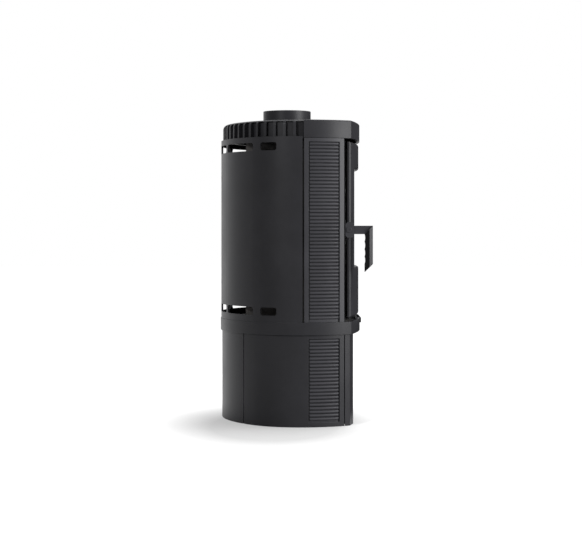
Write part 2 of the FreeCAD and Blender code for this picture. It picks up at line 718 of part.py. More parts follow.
def build_top_plate():
    """Top casting: a plain rim at the front, and a comb of fins round the back for the warm air."""
    comb_outer = size.casing_proud - size.casing_wall - size.plate_gap
    split = -size.comb_start
    levels = (RIM_Z, TOP_Z)
    hollow = (RIM_Z, TOP_Z - size.roof_thick)
    front_area = rectangle((-WIDE, WIDE), (-WIDE, split))
    front_plan = Oval(size.rim_proud).face().common(front_area)
    front_hollow = Oval(size.rim_proud - size.rim_wall).face().common(front_area)
    front = round_top(prism(front_plan, levels), size.rim_round).cut(prism(front_hollow, hollow))
    rear_plan = Oval(comb_outer).face().common(rectangle((-WIDE, WIDE), (split, WIDE)))
    inner_face = comb_outer - size.comb_band
    rear_hollow = Oval(inner_face).face().common(rectangle((-WIDE, WIDE), (split, WIDE)))
    rear = round_top(prism(rear_plan, levels), size.comb_round).cut(prism(rear_hollow, hollow))

    half_length = rear_half_length(comb_outer, size.comb_start) - size.comb_slot / 2
    count = round(half_length / size.comb_pitch)
    slots = []
    for i in range(-count, count + 1):
        point, outward = rear_station(comb_outer, i * half_length / count)
        depth = size.comb_depth + size.comb_round
        slot = Part.makeBox(depth, size.comb_slot, size.rim_height - size.comb_lip + size.roof_thick)
        slot.translate(Vector(-size.comb_depth, -size.comb_slot / 2, -size.roof_thick))
        facing = FreeCAD.Rotation(Vector(1, 0, 0), outward)
        slot.Placement = FreeCAD.Placement(point + Vector(0, 0, RIM_Z), facing).multiply(slot.Placement)
        slots.append(slot)
    rear = rear.cut(Part.makeCompound(slots))
    top = front.fuse(rear).removeSplitter().Solids[0]
    hole_radius = size.flue_bore / 2 + size.flue_wall + size.plate_gap
    top = top.cut(Part.makeCylinder(hole_radius, TOP_Z, Vector(0, size.flue_back, RIM_Z)))
    piece("top_plate", coded("top_plate", top))


FIREBOX_TOP = f"({RIM} - firebox_drop)"
FIREBOX_HEAD = f"({FIREBOX_TOP} - firebox_wall)"
FLOOR = f"({DECK} + floor_height)"
FIRE = f"({FLOOR} + floor_thick)"
FRAME_BACK = "(0 - frame_rear)"
INNER_HALF = "(firebox_half_width - firebox_wall)"
INNER_REAR = "(firebox_rear - firebox_wall)"


def both_sides(name, x, y, z):
    """Two blocks, mirror images in X."""
    right = block(f"{name}_right", x, y, z)
    left = block(f"{name}_left", (f"0 - ({x[1]})", f"0 - ({x[0]})"), y, z)
    return left, right


def build_firebox():
    depth = (FRAME_BACK, INNER_REAR)
    walls = both_sides("wall", (INNER_HALF, "firebox_half_width"), depth, (DECK, FIREBOX_HEAD))
    bearer_x = (f"{INNER_HALF} - bearer", INNER_HALF)
    bearers = both_sides("bearer", bearer_x, depth, (f"{FLOOR} - bearer", FLOOR))
    for side, flat, bearer in zip(("left", "right"), walls, bearers):
        piece(f"firebox_{side}_wall", fuse(f"firebox_{side}_wall", [flat, bearer]))
    full_width = ("0 - firebox_half_width", "firebox_half_width")
    rear = block("firebox_rear_wall", full_width, (INNER_REAR, "firebox_rear"), (DECK, FIREBOX_HEAD))
    piece("firebox_rear_wall", rear)

    lid = block("lid", full_width, (FRAME_BACK, "firebox_rear"), (FIREBOX_HEAD, FIREBOX_TOP))
    outlet = rod("outlet", "flue_bore / 2 - outlet_step", ("0", "flue_back", FIREBOX_HEAD), "firebox_wall")
    holes = []
    bolts = []
    lid_z = RIM_Z - size.firebox_drop
    circle = size.flue_bore / 2 + size.flue_wall + size.flange_width / 2
    for i in range(int(size.collar_bolt_count)):
        spot = polar(circle, math.pi / 4 + 2 * math.pi * i / size.collar_bolt_count)
        head = spot + Vector(0, size.flue_back, lid_z + size.flange_thick)
        bolts.append(hexagon_bolt(head, head - UP * (size.flange_thick + size.firebox_wall)))
        hole = rod(f"lid_hole_{i}", "bolt_radius + bolt_fit",
                   (f"{spot.x}", f"flue_back + {spot.y}", FIREBOX_HEAD), "firebox_wall + flange_thick")
        holes.append(hole)
    piece("firebox_top", cut("firebox_top", lid, [outlet] + holes))
    piece("collar_bolts", coded("collar_bolts", Part.makeCompound(bolts)))

    collar = turned("collar_turned", (
        ("flue_bore / 2", "0"),
        ("flue_bore / 2 + flue_wall + flange_width", "0"),
        ("flue_bore / 2 + flue_wall + flange_width", "flange_thick"),
        ("flue_bore / 2 + flue_wall", "flange_thick"),
        ("flue_bore / 2 + flue_wall", "firebox_drop + rim_height + collar_height"),
        ("flue_bore / 2", "firebox_drop + rim_height + collar_height"),
    ))
    place(collar, "0", "flue_back", FIREBOX_TOP)
    piece("flue_collar", cut("flue_collar", collar, holes))

    studs = []
    for x in (-1, 1):
        for name, y in (("front", "0 - frame_rear + stud_inset"), ("rear", "firebox_rear - stud_inset")):
            start = (f"{x} * (firebox_half_width - stud_inset)", y, FIREBOX_TOP)
            length = f"{TOP} - roof_thick - {FIREBOX_TOP}"
            studs.append(rod(f"stud_{name}_{x + 1}", "stud_radius", start, length))
    piece("top_studs", group("top_studs", studs))


def build_front_frame():
    """Flat frame that the door closes on, with the fire mouth and the air way under it."""
    depth = (f"{FRAME_BACK} - frame_thick", FRAME_BACK)
    slab = block("frame_slab", ("0 - frame_half_width", "frame_half_width"), depth, (DECK, FIREBOX_TOP))
    mouth = block("fire_mouth", ("0 - mouth_half_width", "mouth_half_width"), depth,
                  (f"{DECK} + mouth_sill", f"{FIREBOX_TOP} - mouth_head"))
    notch = block("air_way", ("0 - slide_half_width", "slide_half_width"), depth,
                  (DECK, f"{DECK} + air_notch"))
    piece("front_frame", cut("front_frame", slab, [mouth, notch]))


def build_hearth_parts():
    inside = (f"0 - {INNER_HALF} + plate_gap", f"{INNER_HALF} - plate_gap")
    inside_y = (f"{FRAME_BACK} + plate_gap", f"{INNER_REAR} - plate_gap")
    slab = block("floor_slab", inside, inside_y, (FLOOR, FIRE))
    hole_x = ("0 - grate_half_width", "grate_half_width")
    hole = block("floor_hole", hole_x, ("0 - grate_front", "grate_back"), (FLOOR, FIRE))
    seat_x = ("0 - grate_half_width - grate_lap", "grate_half_width + grate_lap")
    seat_y = ("0 - grate_front - grate_lap", "grate_back + grate_lap")
    seat = block("grate_seat_cut", seat_x, seat_y, (f"{FIRE} - grate_seat", FIRE))
    piece("fire_floor", cut("fire_floor", slab, [hole, seat]))

    grate = doc.addObject("PartDesign::Body", "grate_body")
    half_x = "grate_half_width + grate_lap - plate_gap"
    low_y = "0 - grate_front - grate_lap + plate_gap"
    high_y = "grate_back + grate_lap - plate_gap"
    outline = polygon(grate, "XY_Plane", "grate_outline", (
        (f"0 - ({half_x})", low_y), (half_x, low_y), (half_x, high_y), (f"0 - ({half_x})", high_y)))
    pad(grate, outline, "grate_thick")
    first = "0 - grate_pitch * (grate_count - 1) / 2"
    slot = polygon(grate, "XY_Plane", "grate_slot_outline", (
        (f"{first} - grate_slot / 2", "0 - grate_front"), (f"{first} + grate_slot / 2", "0 - grate_front"),
        (f"{first} + grate_slot / 2", "grate_back"), (f"{first} - grate_slot / 2", "grate_back")))
    pocket = grate.newObject("PartDesign::Pocket", "grate_first_slot")
    pocket.Profile = slot
    pocket.Reversed = True
    pocket.setExpression("Length", bind("grate_thick"))
    doc.recompute()
    row = grate.newObject("PartDesign::LinearPattern", "grate_slots")
    row.Originals = [pocket]
    row.Direction = (slot, ["H_Axis"])
    row.setExpression("Occurrences", bind("grate_count"))
    row.setExpression("Length", bind("grate_pitch * (grate_count - 1)"))
    grate.Tip = row
    place(grate, "0", "0", f"{FIRE} - grate_seat")
    piece("fire_grate", grate)

    pan_x = ("0 - pan_half_width", "pan_half_width")
    pan_y = ("0 - pan_half_depth", "pan_half_depth")
    tray = block("pan_outside", pan_x, pan_y, (DECK, f"{DECK} + pan_height"))
    room = block("pan_inside", ("pan_wall - pan_half_width", "pan_half_width - pan_wall"),
                 ("pan_wall - pan_half_depth", "pan_half_depth - pan_wall"),
                 (f"{DECK} + pan_wall", f"{DECK} + pan_height"))
    piece("ash_pan", cut("ash_pan", tray, [room]))

    brick_z = (FIRE, f"{FIRE} + brick_height")
    rear_y = (f"{INNER_REAR} - brick_thick", INNER_REAR)
    rear = both_sides("rear_brick", ("brick_joint / 2", f"{INNER_HALF} - plate_gap"), rear_y, brick_z)
    piece("rear_bricks", group("rear_bricks", list(rear)))
    side_x = (f"{INNER_HALF} - brick_thick", INNER_HALF)
    split = f"({rear_y[0]} - brick_joint - brick_front) / 2"
    front = both_sides("front_brick", side_x, ("0 - brick_front", f"{split} - brick_joint / 2"), brick_z)
    back = both_sides("back_brick", side_x,
                      (f"{split} + brick_joint / 2", f"{rear_y[0]} - brick_joint"), brick_z)
    piece("left_bricks", group("left_bricks", [front[0], back[0]]))
    piece("right_bricks", group("right_bricks", [front[1], back[1]]))

    baffle_z = (brick_z[1], f"{brick_z[1]} + baffle_thick")
    baffle = block("baffle_plate", inside, ("0 - baffle_front", f"{INNER_REAR} - plate_gap"), baffle_z)
    piece("baffle_plate", baffle)
    guard_y = ("0 - guard_front", "guard_thick - guard_front")
    guard = block("log_guard", ("0 - guard_half_width", "guard_half_width"), guard_y,
                  (FIRE, f"{FIRE} + guard_height"))
    piece("log_guard", guard)


DOOR_FOOT = f"({DECK} + door_foot_gap)"
DOOR_HEAD = f"({RIM} - door_head_gap)"
DOOR_BACK = "(0 - door_rear)"
SILL = f"({DOOR_FOOT} + window_sill)"
HEAD = f"({DOOR_HEAD} - window_head)"
HINGES = (("lower", f"({DECK} + hinge_low)", DECK_Z + size.hinge_low),
          ("upper", f"({RIM} - hinge_high)", RIM_Z - size.hinge_high))
LUG_RISE = size.bracket_height + size.lug_gap


def build_door_frame():
    """Bulging door casting with a window, hollow rails and two hinge lugs."""
    foot = DECK_Z + size.door_foot_gap
    head = RIM_Z - size.door_head_gap
    sill = foot + size.window_sill
    lintel = head - size.window_head
    half = size.door_half_width
    back = -size.door_rear
    oval = Oval(size.door_proud)
    bulge = oval.face().common(rectangle((-half, half), (-WIDE, back)))
    door = prism(bulge, (foot, head))
    edge_y = oval.front_y(half)
    uprights = [edge for edge in door.Edges if edge.BoundBox.ZLength > 1
                and abs(edge.CenterOfMass.y - edge_y) < 1]
    door = door.makeChamfer(size.door_chamfer, uprights)
    window = Part.makeBox(2 * size.window_half_width, WIDE, lintel - sill,
                          Vector(-size.window_half_width, -WIDE, sill))
    door = door.cut(window)
    front_edges = [edge for edge in door.Edges if edge.Curve.TypeId == "Part::GeomCircle"
                   and edge.BoundBox.ZLength < 1 and edge.BoundBox.XLength > size.window_half_width]
    door = door.makeFillet(size.door_round, front_edges)

    lap = size.glass_lap
    seat = Part.makeBox(2 * (size.window_half_width + lap), size.glass_depth, lintel - sill + 2 * lap,
                        Vector(-size.window_half_width - lap, back - size.glass_depth, sill - lap))
    door = door.cut(seat)
    inset = size.seal_inset + size.seal_width
    hollow_plan = Oval(size.door_proud - size.door_wall).face()
    hollow_plan = hollow_plan.common(rectangle((inset - half, half - inset), (-WIDE, back)))
    clip_room = lap + 2 * size.clip_reach
    for levels in ((foot + inset, sill - clip_room), (lintel + clip_room, head - inset)):
        door = door.cut(prism(hollow_plan, levels))

    axis = Vector(size.hinge_x, -size.hinge_front, 0)
    web = 0.75 * size.knuckle_radius
    for _, _, level in HINGES:
        base = axis + Vector(0, 0, level + LUG_RISE)
        knuckle = Part.makeCylinder(size.knuckle_radius, size.lug_height, base)
        arm = Part.makeBox(2 * web, size.door_rear - size.hinge_front, size.lug_height,
                           base + Vector(-web, size.hinge_front - size.door_rear, 0))
        bore = Part.makeCylinder(size.hinge_pin_radius + size.lug_fit, size.lug_height, base)
        door = door.fuse(knuckle.fuse(arm)).cut(bore)
    piece("door_frame", coded("door_frame", door.removeSplitter().Solids[0]))


def build_door_parts():
    glass_front = f"({DOOR_BACK} - glass_depth + gasket_thick)"
    lap = "(glass_lap - glass_fit)"
    pane_x = (f"0 - window_half_width - {lap}", f"window_half_width + {lap}")
    pane_z = (f"{SILL} - {lap}", f"{HEAD} + {lap}")
    pane = block("door_glass", pane_x, (glass_front, f"{glass_front} + glass_thick"), pane_z)
    piece("door_glass", pane)

    gasket_y = (f"{DOOR_BACK} - glass_depth", glass_front)
    band = block("gasket_band", pane_x, gasket_y, pane_z)
    sight = block("gasket_sight", (f"{pane_x[0]} + gasket_width", f"{pane_x[1]} - gasket_width"), gasket_y,
                  (f"{pane_z[0]} + gasket_width", f"{pane_z[1]} - gasket_width"))
    piece("glass_gasket", cut("glass_gasket", band, [sight]))

    seal_x = ("seal_inset - door_half_width", "door_half_width - seal_inset")
    seal_y = (DOOR_BACK, f"{FRAME_BACK} - frame_thick - seal_gap")
    seal_z = (f"{DOOR_FOOT} + seal_inset / 2", f"{DOOR_HEAD} - seal_inset / 2")
    rope = block("rope_outside", seal_x, seal_y, seal_z)
    inside = block("rope_inside", (f"{seal_x[0]} + seal_width", f"{seal_x[1]} - seal_width"), seal_y,
                   (f"{seal_z[0]} + seal_width", f"{seal_z[1]} - seal_width"))
    piece("door_seal", cut("door_seal", rope, [inside]))

    clips = []
    screws = []
    tongue_y = (f"{glass_front} + glass_thick", f"{DOOR_BACK} + clip_thick")
    base_y = (DOOR_BACK, f"{DOOR_BACK} + clip_thick")
    half_clip = "clip_width / 2"
    third = f"(({HEAD} - {SILL}) / 3)"
    for side in (-1, 1):
        for row, z in (("low", f"{SILL} + {third}"), ("high", f"{HEAD} - {third}")):
            edge = "(window_half_width + glass_lap)"
            tongue_x = (f"{side} * {edge} - clip_reach * {(side + 1) // 2}",
                        f"{side} * {edge} + clip_reach * {(1 - side) // 2}")
            base_x = (f"{side} * {edge} - clip_reach * {(1 - side) // 2}",
                      f"{side} * {edge} + clip_reach * {(side + 1) // 2}")
            clip_z = (f"{z} - {half_clip}", f"{z} + {half_clip}")
            name = f"clip_{row}_{side + 1}"
            clips.append(fuse(name, [block(name + "_tongue", tongue_x, tongue_y, clip_z),
                                     block(name + "_base", base_x, base_y, clip_z)]))
            spot = (f"{side} * ({edge} + clip_reach / 2)", base_y[1], z)
            screws.append(rod(name + "_screw", "clip_screw_radius", spot, "clip_screw_head", ALONG_Y))
    for row, level, up in (("sill", f"({SILL} - glass_lap)", -1), ("lintel", f"({HEAD} + glass_lap)", 1)):
        for side in (-1, 1):
            x = f"{side} * window_half_width / 2"
            clip_x = (f"{x} - {half_clip}", f"{x} + {half_clip}")
            tongue_z = (f"{level} - clip_reach * {(up + 1) // 2}", f"{level} + clip_reach * {(1 - up) // 2}")
            base_z = (f"{level} - clip_reach * {(1 - up) // 2}", f"{level} + clip_reach * {(up + 1) // 2}")
            name = f"clip_{row}_{side + 1}"
            clips.append(fuse(name, [block(name + "_tongue", clip_x, tongue_y, tongue_z),
                                     block(name + "_base", clip_x, base_y, base_z)]))
            spot = (x, base_y[1], f"{level} + {up} * clip_reach / 2")
            screws.append(rod(name + "_screw", "clip_screw_radius", spot, "clip_screw_head", ALONG_Y))
    piece("glass_clips", group("glass_clips", clips))
    piece("clip_screws", group("clip_screws", screws))


def build_hinges():
    brackets = []
    pins = []
    for name, level, _ in HINGES:
        axis = ("hinge_x", "0 - hinge_front", level)
        eye = rod(f"{name}_eye", "knuckle_radius", axis, "bracket_height")
        arm = block(f"{name}_arm", ("frame_half_width", "hinge_x"),
                    ("0 - hinge_front - knuckle_radius / 2", "0 - hinge_front + knuckle_radius"),
                    (level, f"{level} + bracket_height"))
        bore = rod(f"{name}_bore", "hinge_pin_radius + pin_fit", axis, "bracket_height")
        brackets.append(cut(f"{name}_bracket", fuse(f"{name}_blank", [eye, arm]), [bore]))
        pins.append(rod(f"{name}_pin", "hinge_pin_radius", axis, "bracket_height + lug_gap + lug_height"))
    piece("hinge_brackets", group("hinge_brackets", brackets))
    piece("hinge_pins", group("hinge_pins", pins))


HANDLE_Z = f"({DECK} + handle_height)"
HANDLE_Y = "(0 - handle_front)"
SLOT_WIDTH = "(arm_thick + 2 * arm_fit)"
BRACKET_WIDTH = f"(cheek_inner + {SLOT_WIDTH} + cheek_outer)"
BRACKET_X = f"(0 - door_half_width - {BRACKET_WIDTH})"


def build_handle_bracket():
    """Block on the door's edge with two cheeks that hold the handle, and its pivot screw."""
    body = doc.addObject("PartDesign::Body", "bracket_body")
    back = "cheek_rear"
    front = "(0 - cheek_front)"
    half = "cheek_half_height"
    low = "(0 - cheek_half_height)"
    octagon = polygon(body, "YZ_Plane", "bracket_outline", (
        (front, f"{low} + cheek_chamfer"), (f"{front} + cheek_chamfer", low),
        (f"{back} - cheek_chamfer", low), (back, f"{low} + cheek_chamfer"),
        (back, f"{half} - cheek_chamfer"), (f"{back} - cheek_chamfer", half),
        (f"{front} + cheek_chamfer", half), (front, f"{half} - cheek_chamfer")))
    pad(body, octagon, BRACKET_WIDTH)
    place(body, BRACKET_X, HANDLE_Y, HANDLE_Z)
    slot_x = (f"{BRACKET_X} + cheek_outer", f"{BRACKET_X} + cheek_outer + {SLOT_WIDTH}")
    slot_y = (f"{HANDLE_Y} - cheek_front", f"{HANDLE_Y} + cheek_rear")
    room = block("arm_room", slot_x, slot_y, (f"{HANDLE_Z} - {half} + cheek_bridge", f"{HANDLE_Z} + {half}"))
    tail = block("finger_room", slot_x, (f"{HANDLE_Y} - cheek_bridge", slot_y[1]),
                 (f"{HANDLE_Z} - {half}", f"{HANDLE_Z} + {half}"))
    axis = (BRACKET_X, HANDLE_Y, HANDLE_Z)
    hole = rod("pivot_hole", "pivot_radius + pin_fit", axis, BRACKET_WIDTH, ALONG_X)
    piece("handle_bracket", cut("handle_bracket", body, [room, tail, hole]))

    shank = rod("pivot_shank", "pivot_radius", axis, BRACKET_WIDTH, ALONG_X)
    head = rod("pivot_head_disc", "pivot_head_radius", (f"{BRACKET_X} - pivot_head", HANDLE_Y, HANDLE_Z),
               "pivot_head", ALONG_X)
    piece("pivot_screw", fuse("pivot_screw", [shank, head]))


def build_handle():
    """Lever with a latch finger behind its pivot and a hanging grip with finger hollows."""
    pivot = Vector(0, -size.handle_front, DECK_Z + size.handle_height)
    inner = -size.door_half_width - size.cheek_inner - size.arm_fit
    outer = inner - size.arm_thick
    middle = (inner + outer) / 2
    half = size.arm_height / 2
    front = -size.grip_front
    rear = front + size.grip_depth
    across = Vector(1, 0, 0)
    hub = Part.makeCylinder(half, size.arm_thick, Vector(outer, pivot.y, pivot.z), across)
    arm = Part.makeBox(size.arm_thick, pivot.y - front, size.arm_height, Vector(outer, front, pivot.z - half))
    finger = Part.makeBox(size.arm_thick, size.finger_reach, size.finger_height,
                          Vector(outer, pivot.y, pivot.z - size.finger_height / 2))

    wide = size.grip_half_width
    plan = [Vector(middle + x, y, 0) for x, y in (
        (-size.grip_nose, front), (size.grip_nose, front), (wide, front + size.grip_face),
        (size.grip_edge, rear), (-size.grip_edge, rear), (-wide, front + size.grip_face))]
    tip = pivot.z - size.grip_drop
    grip = upright(Part.Face(Part.makePolygon(plan + plan[:1])), (tip, pivot.z + half))

    def side_cut(points):
        corners = [Vector(-WIDE, y, z) for y, z in points]
        return Part.Face(Part.makePolygon(corners + corners[:1])).extrude(across * 2 * WIDE)

    grip = grip.cut(side_cut(((front, tip), (rear, tip), (front, tip + size.grip_depth))))
    grip = grip.cut(side_cut(((front, pivot.z + half), (rear, pivot.z - half), (rear, pivot.z + half))))
    chord = size.grip_wave / 2
    hollow_radius = (chord ** 2 + size.grip_wave_depth ** 2) / (2 * size.grip_wave_depth)
    for i in range(int(size.grip_wave_count)):
        level = pivot.z - half - (i + 0.5) * size.grip_wave
        centre = Vector(-WIDE, rear + hollow_radius - size.grip_wave_depth, level)
        grip = grip.cut(Part.makeCylinder(hollow_radius, 2 * WIDE, centre, across))

    bore_start = Vector(-WIDE, pivot.y, pivot.z)
    bore = Part.makeCylinder(size.pivot_radius + size.pivot_fit, 2 * WIDE, bore_start, across)
    lever = hub.fuse([arm, finger, grip]).cut(bore).removeSplitter()
    piece("door_handle", coded("door_handle", lever.Solids[0]))


def build_latch_keeper():
    finger_top = f"({HANDLE_Z} + finger_height / 2)"
    reach = "door_half_width + cheek_inner + arm_fit + arm_thick"
    keeper = block("latch_keeper", (f"0 - ({reach})", "0 - frame_half_width"),
                   (f"{FRAME_BACK} - keeper_depth", FRAME_BACK),
                   (f"{finger_top} + keeper_gap", f"{finger_top} + keeper_gap + keeper_height"))
    piece("latch_keeper", keeper)


def build_air_control():
    """Sliding air plate under the door, with its guides, stem and knob."""
    slide_y = ("0 - slide_front", "slide_depth - slide_front")
    slide_z = (f"{DECK} + slide_gap", f"{DECK} + slide_gap + slide_thick")
    strip = block("slide_strip", ("0 - slide_half_width", "slide_half_width"), slide_y, slide_z)
    stem = block("slide_stem", ("0 - stem_half_width", "stem_half_width"),
                 ("0 - knob_rear", slide_y[1]), slide_z)
    holes = []
    margin = "(slide_depth - air_hole_depth) / 2"
    for i in (-1, 0, 1):
        middle = f"{i} * air_hole_pitch"
        hole = block(f"slide_hole_{i + 1}",
                     (f"{middle} - air_hole_half_width", f"{middle} + air_hole_half_width"),
                     (f"{slide_y[0]} + {margin}", f"{slide_y[1]} - {margin}"), slide_z)
        holes.append(hole)
    piece("air_slide", cut("air_slide", fuse("slide_blank", [strip, stem]), holes))

    knob = doc.addObject("PartDesign::Body", "knob_body")
    belt_front = "(front_reach + belt_proud)"
    lip_rear = f"0 - {belt_front} - knob_gap"
    lip_front = f"{lip_rear} - knob_lip"
    outline = polygon(knob, "YZ_Plane", "knob_outline", (
        ("0 - knob_rear", "0"), ("0 - knob_rear", "knob_height"),
        (f"knob_crest - {belt_front}", "knob_height"), (lip_front, "knob_face - knob_drop"),
        (lip_front, "0 - knob_drop"), (lip_rear, "0 - knob_drop"), (lip_rear, "0")))
    block_feature = pad(knob, outline, "2 * knob_half_width")
    doc.recompute()
    outer = -(size.front_reach + size.belt_proud + size.knob_gap + size.knob_lip / 2)
    fillet = knob.newObject("PartDesign::Fillet", "knob_edges")
    fillet.Base = (block_feature, [f"Edge{i + 1}" for i, edge in enumerate(block_feature.Shape.Edges)
                                   if edge.BoundBox.XLength > size.knob_half_width
                                   and edge.CenterOfMass.y < outer])
    fillet.setExpression("Radius", bind("knob_round"))
    place(knob, "0 - knob_half_width", "0", slide_z[0])
    piece("air_knob", knob)

    guides = []
    lip_z = (f"{slide_z[1]} + slide_gap", f"{slide_z[1]} + slide_gap + guide_lip")
    clear = "(stem_half_width + slide_travel + guide_width)"
    runs = (("left", ("0 - guide_half_length", f"0 - {clear}"), -1),
            ("right", (clear, "guide_half_length"), -1),
            ("rear", ("0 - guide_half_length", "guide_half_length"), 1))
    for name, x, side in runs:
        edge = slide_y[0] if side < 0 else slide_y[1]
        near = f"({edge} + {side} * slide_gap)"
        far = f"({near} + {side} * guide_width)"
        over = f"({near} - {side} * guide_lap)"
        post_y = (far, near) if side < 0 else (near, far)
        lip_y = (far, over) if side < 0 else (over, far)
        post = block(f"{name}_guide_post", x, post_y, (DECK, lip_z[1]))
        lip = block(f"{name}_guide_lip", x, lip_y, lip_z)
        guides.append(fuse(f"{name}_guide", [post, lip]))
    piece("air_guides", group("air_guides", guides))


def export():
    """Checks every object and every sub-part, then writes one file for each sub-part."""
    doc.recompute()
    for item in doc.Objects:
        if "Invalid" in item.State or "Error" in item.State:
            raise RuntimeError(f"{item.Label} failed: {item.State}")
    for node, item in pieces.items():
        if item.Shape.isNull() or not item.Shape.isValid():
            raise RuntimeError(f"{node} has no valid shape")
    os.makedirs("parts", exist_ok=True)
    for node, item in pieces.items():
        item.Shape.exportStep(f"parts/{node}.step")
        print(node, len(item.Shape.Solids), round(item.Shape.Volume / 1000, 1))


build_plinth()
build_belt()
build_side_panels()
build_back_casing()
build_top_plate()
build_firebox()
build_front_frame()
build_hearth_parts()
build_door_frame()
build_door_parts()
build_hinges()
build_handle_bracket()
build_handle()
build_latch_keeper()
build_air_control()
export()
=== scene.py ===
"""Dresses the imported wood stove: softened castings, rope seals, finishes and a plain studio stage."""

import json
import math

import bmesh
import bpy
from mathutils import Matrix, Vector


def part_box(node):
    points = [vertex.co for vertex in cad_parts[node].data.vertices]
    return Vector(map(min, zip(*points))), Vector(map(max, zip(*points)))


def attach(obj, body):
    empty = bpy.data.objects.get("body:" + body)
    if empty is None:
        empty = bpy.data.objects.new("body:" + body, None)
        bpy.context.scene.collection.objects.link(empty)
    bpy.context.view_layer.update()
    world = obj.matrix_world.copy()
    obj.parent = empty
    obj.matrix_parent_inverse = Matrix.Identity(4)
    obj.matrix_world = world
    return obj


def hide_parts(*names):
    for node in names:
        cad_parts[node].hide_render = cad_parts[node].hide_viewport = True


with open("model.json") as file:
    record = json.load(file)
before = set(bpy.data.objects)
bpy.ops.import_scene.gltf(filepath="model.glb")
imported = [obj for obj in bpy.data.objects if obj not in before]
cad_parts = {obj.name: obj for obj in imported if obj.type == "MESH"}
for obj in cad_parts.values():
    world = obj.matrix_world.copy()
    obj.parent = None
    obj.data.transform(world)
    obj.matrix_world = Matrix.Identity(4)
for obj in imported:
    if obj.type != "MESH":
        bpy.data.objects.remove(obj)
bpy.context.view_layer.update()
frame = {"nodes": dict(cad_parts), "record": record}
NODES = frame["nodes"]
MM = 0.001

bl_info = {
    "name": "Wood stove dresser",
    "version": (1, 0, 0),
    "blender": (4, 5, 0),
    "location": "View3D > Sidebar > Stove",
    "description": "Gives the packed wood stove its finishes, seals, softened castings and stage",
    "category": "Object",
}

CASTINGS = ("top_plate", "door_frame", "base_plate")
SOFTENED = {
    "softened_belt": "belt_ring", "softened_left_panel": "left_side_panel",
    "softened_right_panel": "right_side_panel", "softened_plinth_left": "plinth_left_side",
    "softened_plinth_right": "plinth_right_side", "softened_left_pillar": "plinth_left_pillar",
    "softened_right_pillar": "plinth_right_pillar", "softened_plinth_rear": "plinth_rear_panel",
    "softened_bracket": "handle_bracket", "softened_handle": "door_handle", "softened_knob": "air_knob",
    "softened_front_frame": "front_frame", "softened_hinges": "hinge_brackets",
    "softened_keeper": "latch_keeper", "softened_collar": "flue_collar",
}
# A lighter copy of the casting paint is painted light on these castings, the ribbed plinth fields, the
# handle's arm and the painted screws.
LIT_CASTINGS = ("left_side_panel", "right_side_panel", "handle_bracket")
RIBBED_PLINTH = ("plinth_left_side", "plinth_right_side")
HEARTH_IRON = (
    "firebox_left_wall", "firebox_right_wall", "firebox_rear_wall", "firebox_top", "fire_floor",
    "fire_grate", "log_guard", "hearth_plate",
)
PLATED = ("ash_pan", "glass_clips")
BLACKENED = (
    "air_slide", "air_guides", "casing_standoffs", "collar_bolts", "hearth_bolts", "hinge_pins",
    "levelling_screws", "top_studs",
)
BRICKS = ("left_bricks", "right_bricks", "rear_bricks", "baffle_plate")

# Each kind of screw: its node, the way its head faces, the head's height, the shank's radius, its finish.
SCREWS = (
    ("pivot_screw", (-1, 0, 0), 3.0 * MM, 5.0 * MM, "paint"),
    ("casing_screws", (0, 1, 0), 2.0 * MM, 3.0 * MM, "paint"),
    ("clip_screws", (0, 1, 0), 2.0 * MM, 0.0, "steel"),
)

# Each lamp: its place, its width and height, whether it leaves the floor out, whether it gives glints.
LAMPS = {
    "fill": ((-3.4, 2.0, 2.3), (0.9, 0.9), False, True),
    "front": ((-1.9, -3.4, 1.3), (2.2, 2.2), True, True),
    "far": ((2.6, 2.6, 3.6), (2.0, 2.0), True, False),
    "rear": ((3.3, 2.6, 1.3), (1.2, 2.6), False, True),
    "top": ((0.5, -0.9, 3.6), (2.5, 2.5), False, True),
}

PAINT_ROUGHNESS = 0.38
CASTING_GRAIN_DEPTH = 0.06 * MM
FINE_GRAIN = 0.9 * MM
FINE_GRAIN_DEPTH = 0.03 * MM
WELD = 0.01 * MM
FLAT_WITHIN = math.radians(0.6)
SMOOTH_BELOW = math.radians(32)
STOVE_HEART = Vector((0.0, 0.0, 0.55))
WHITE = (1.0, 1.0, 1.0, 1.0)


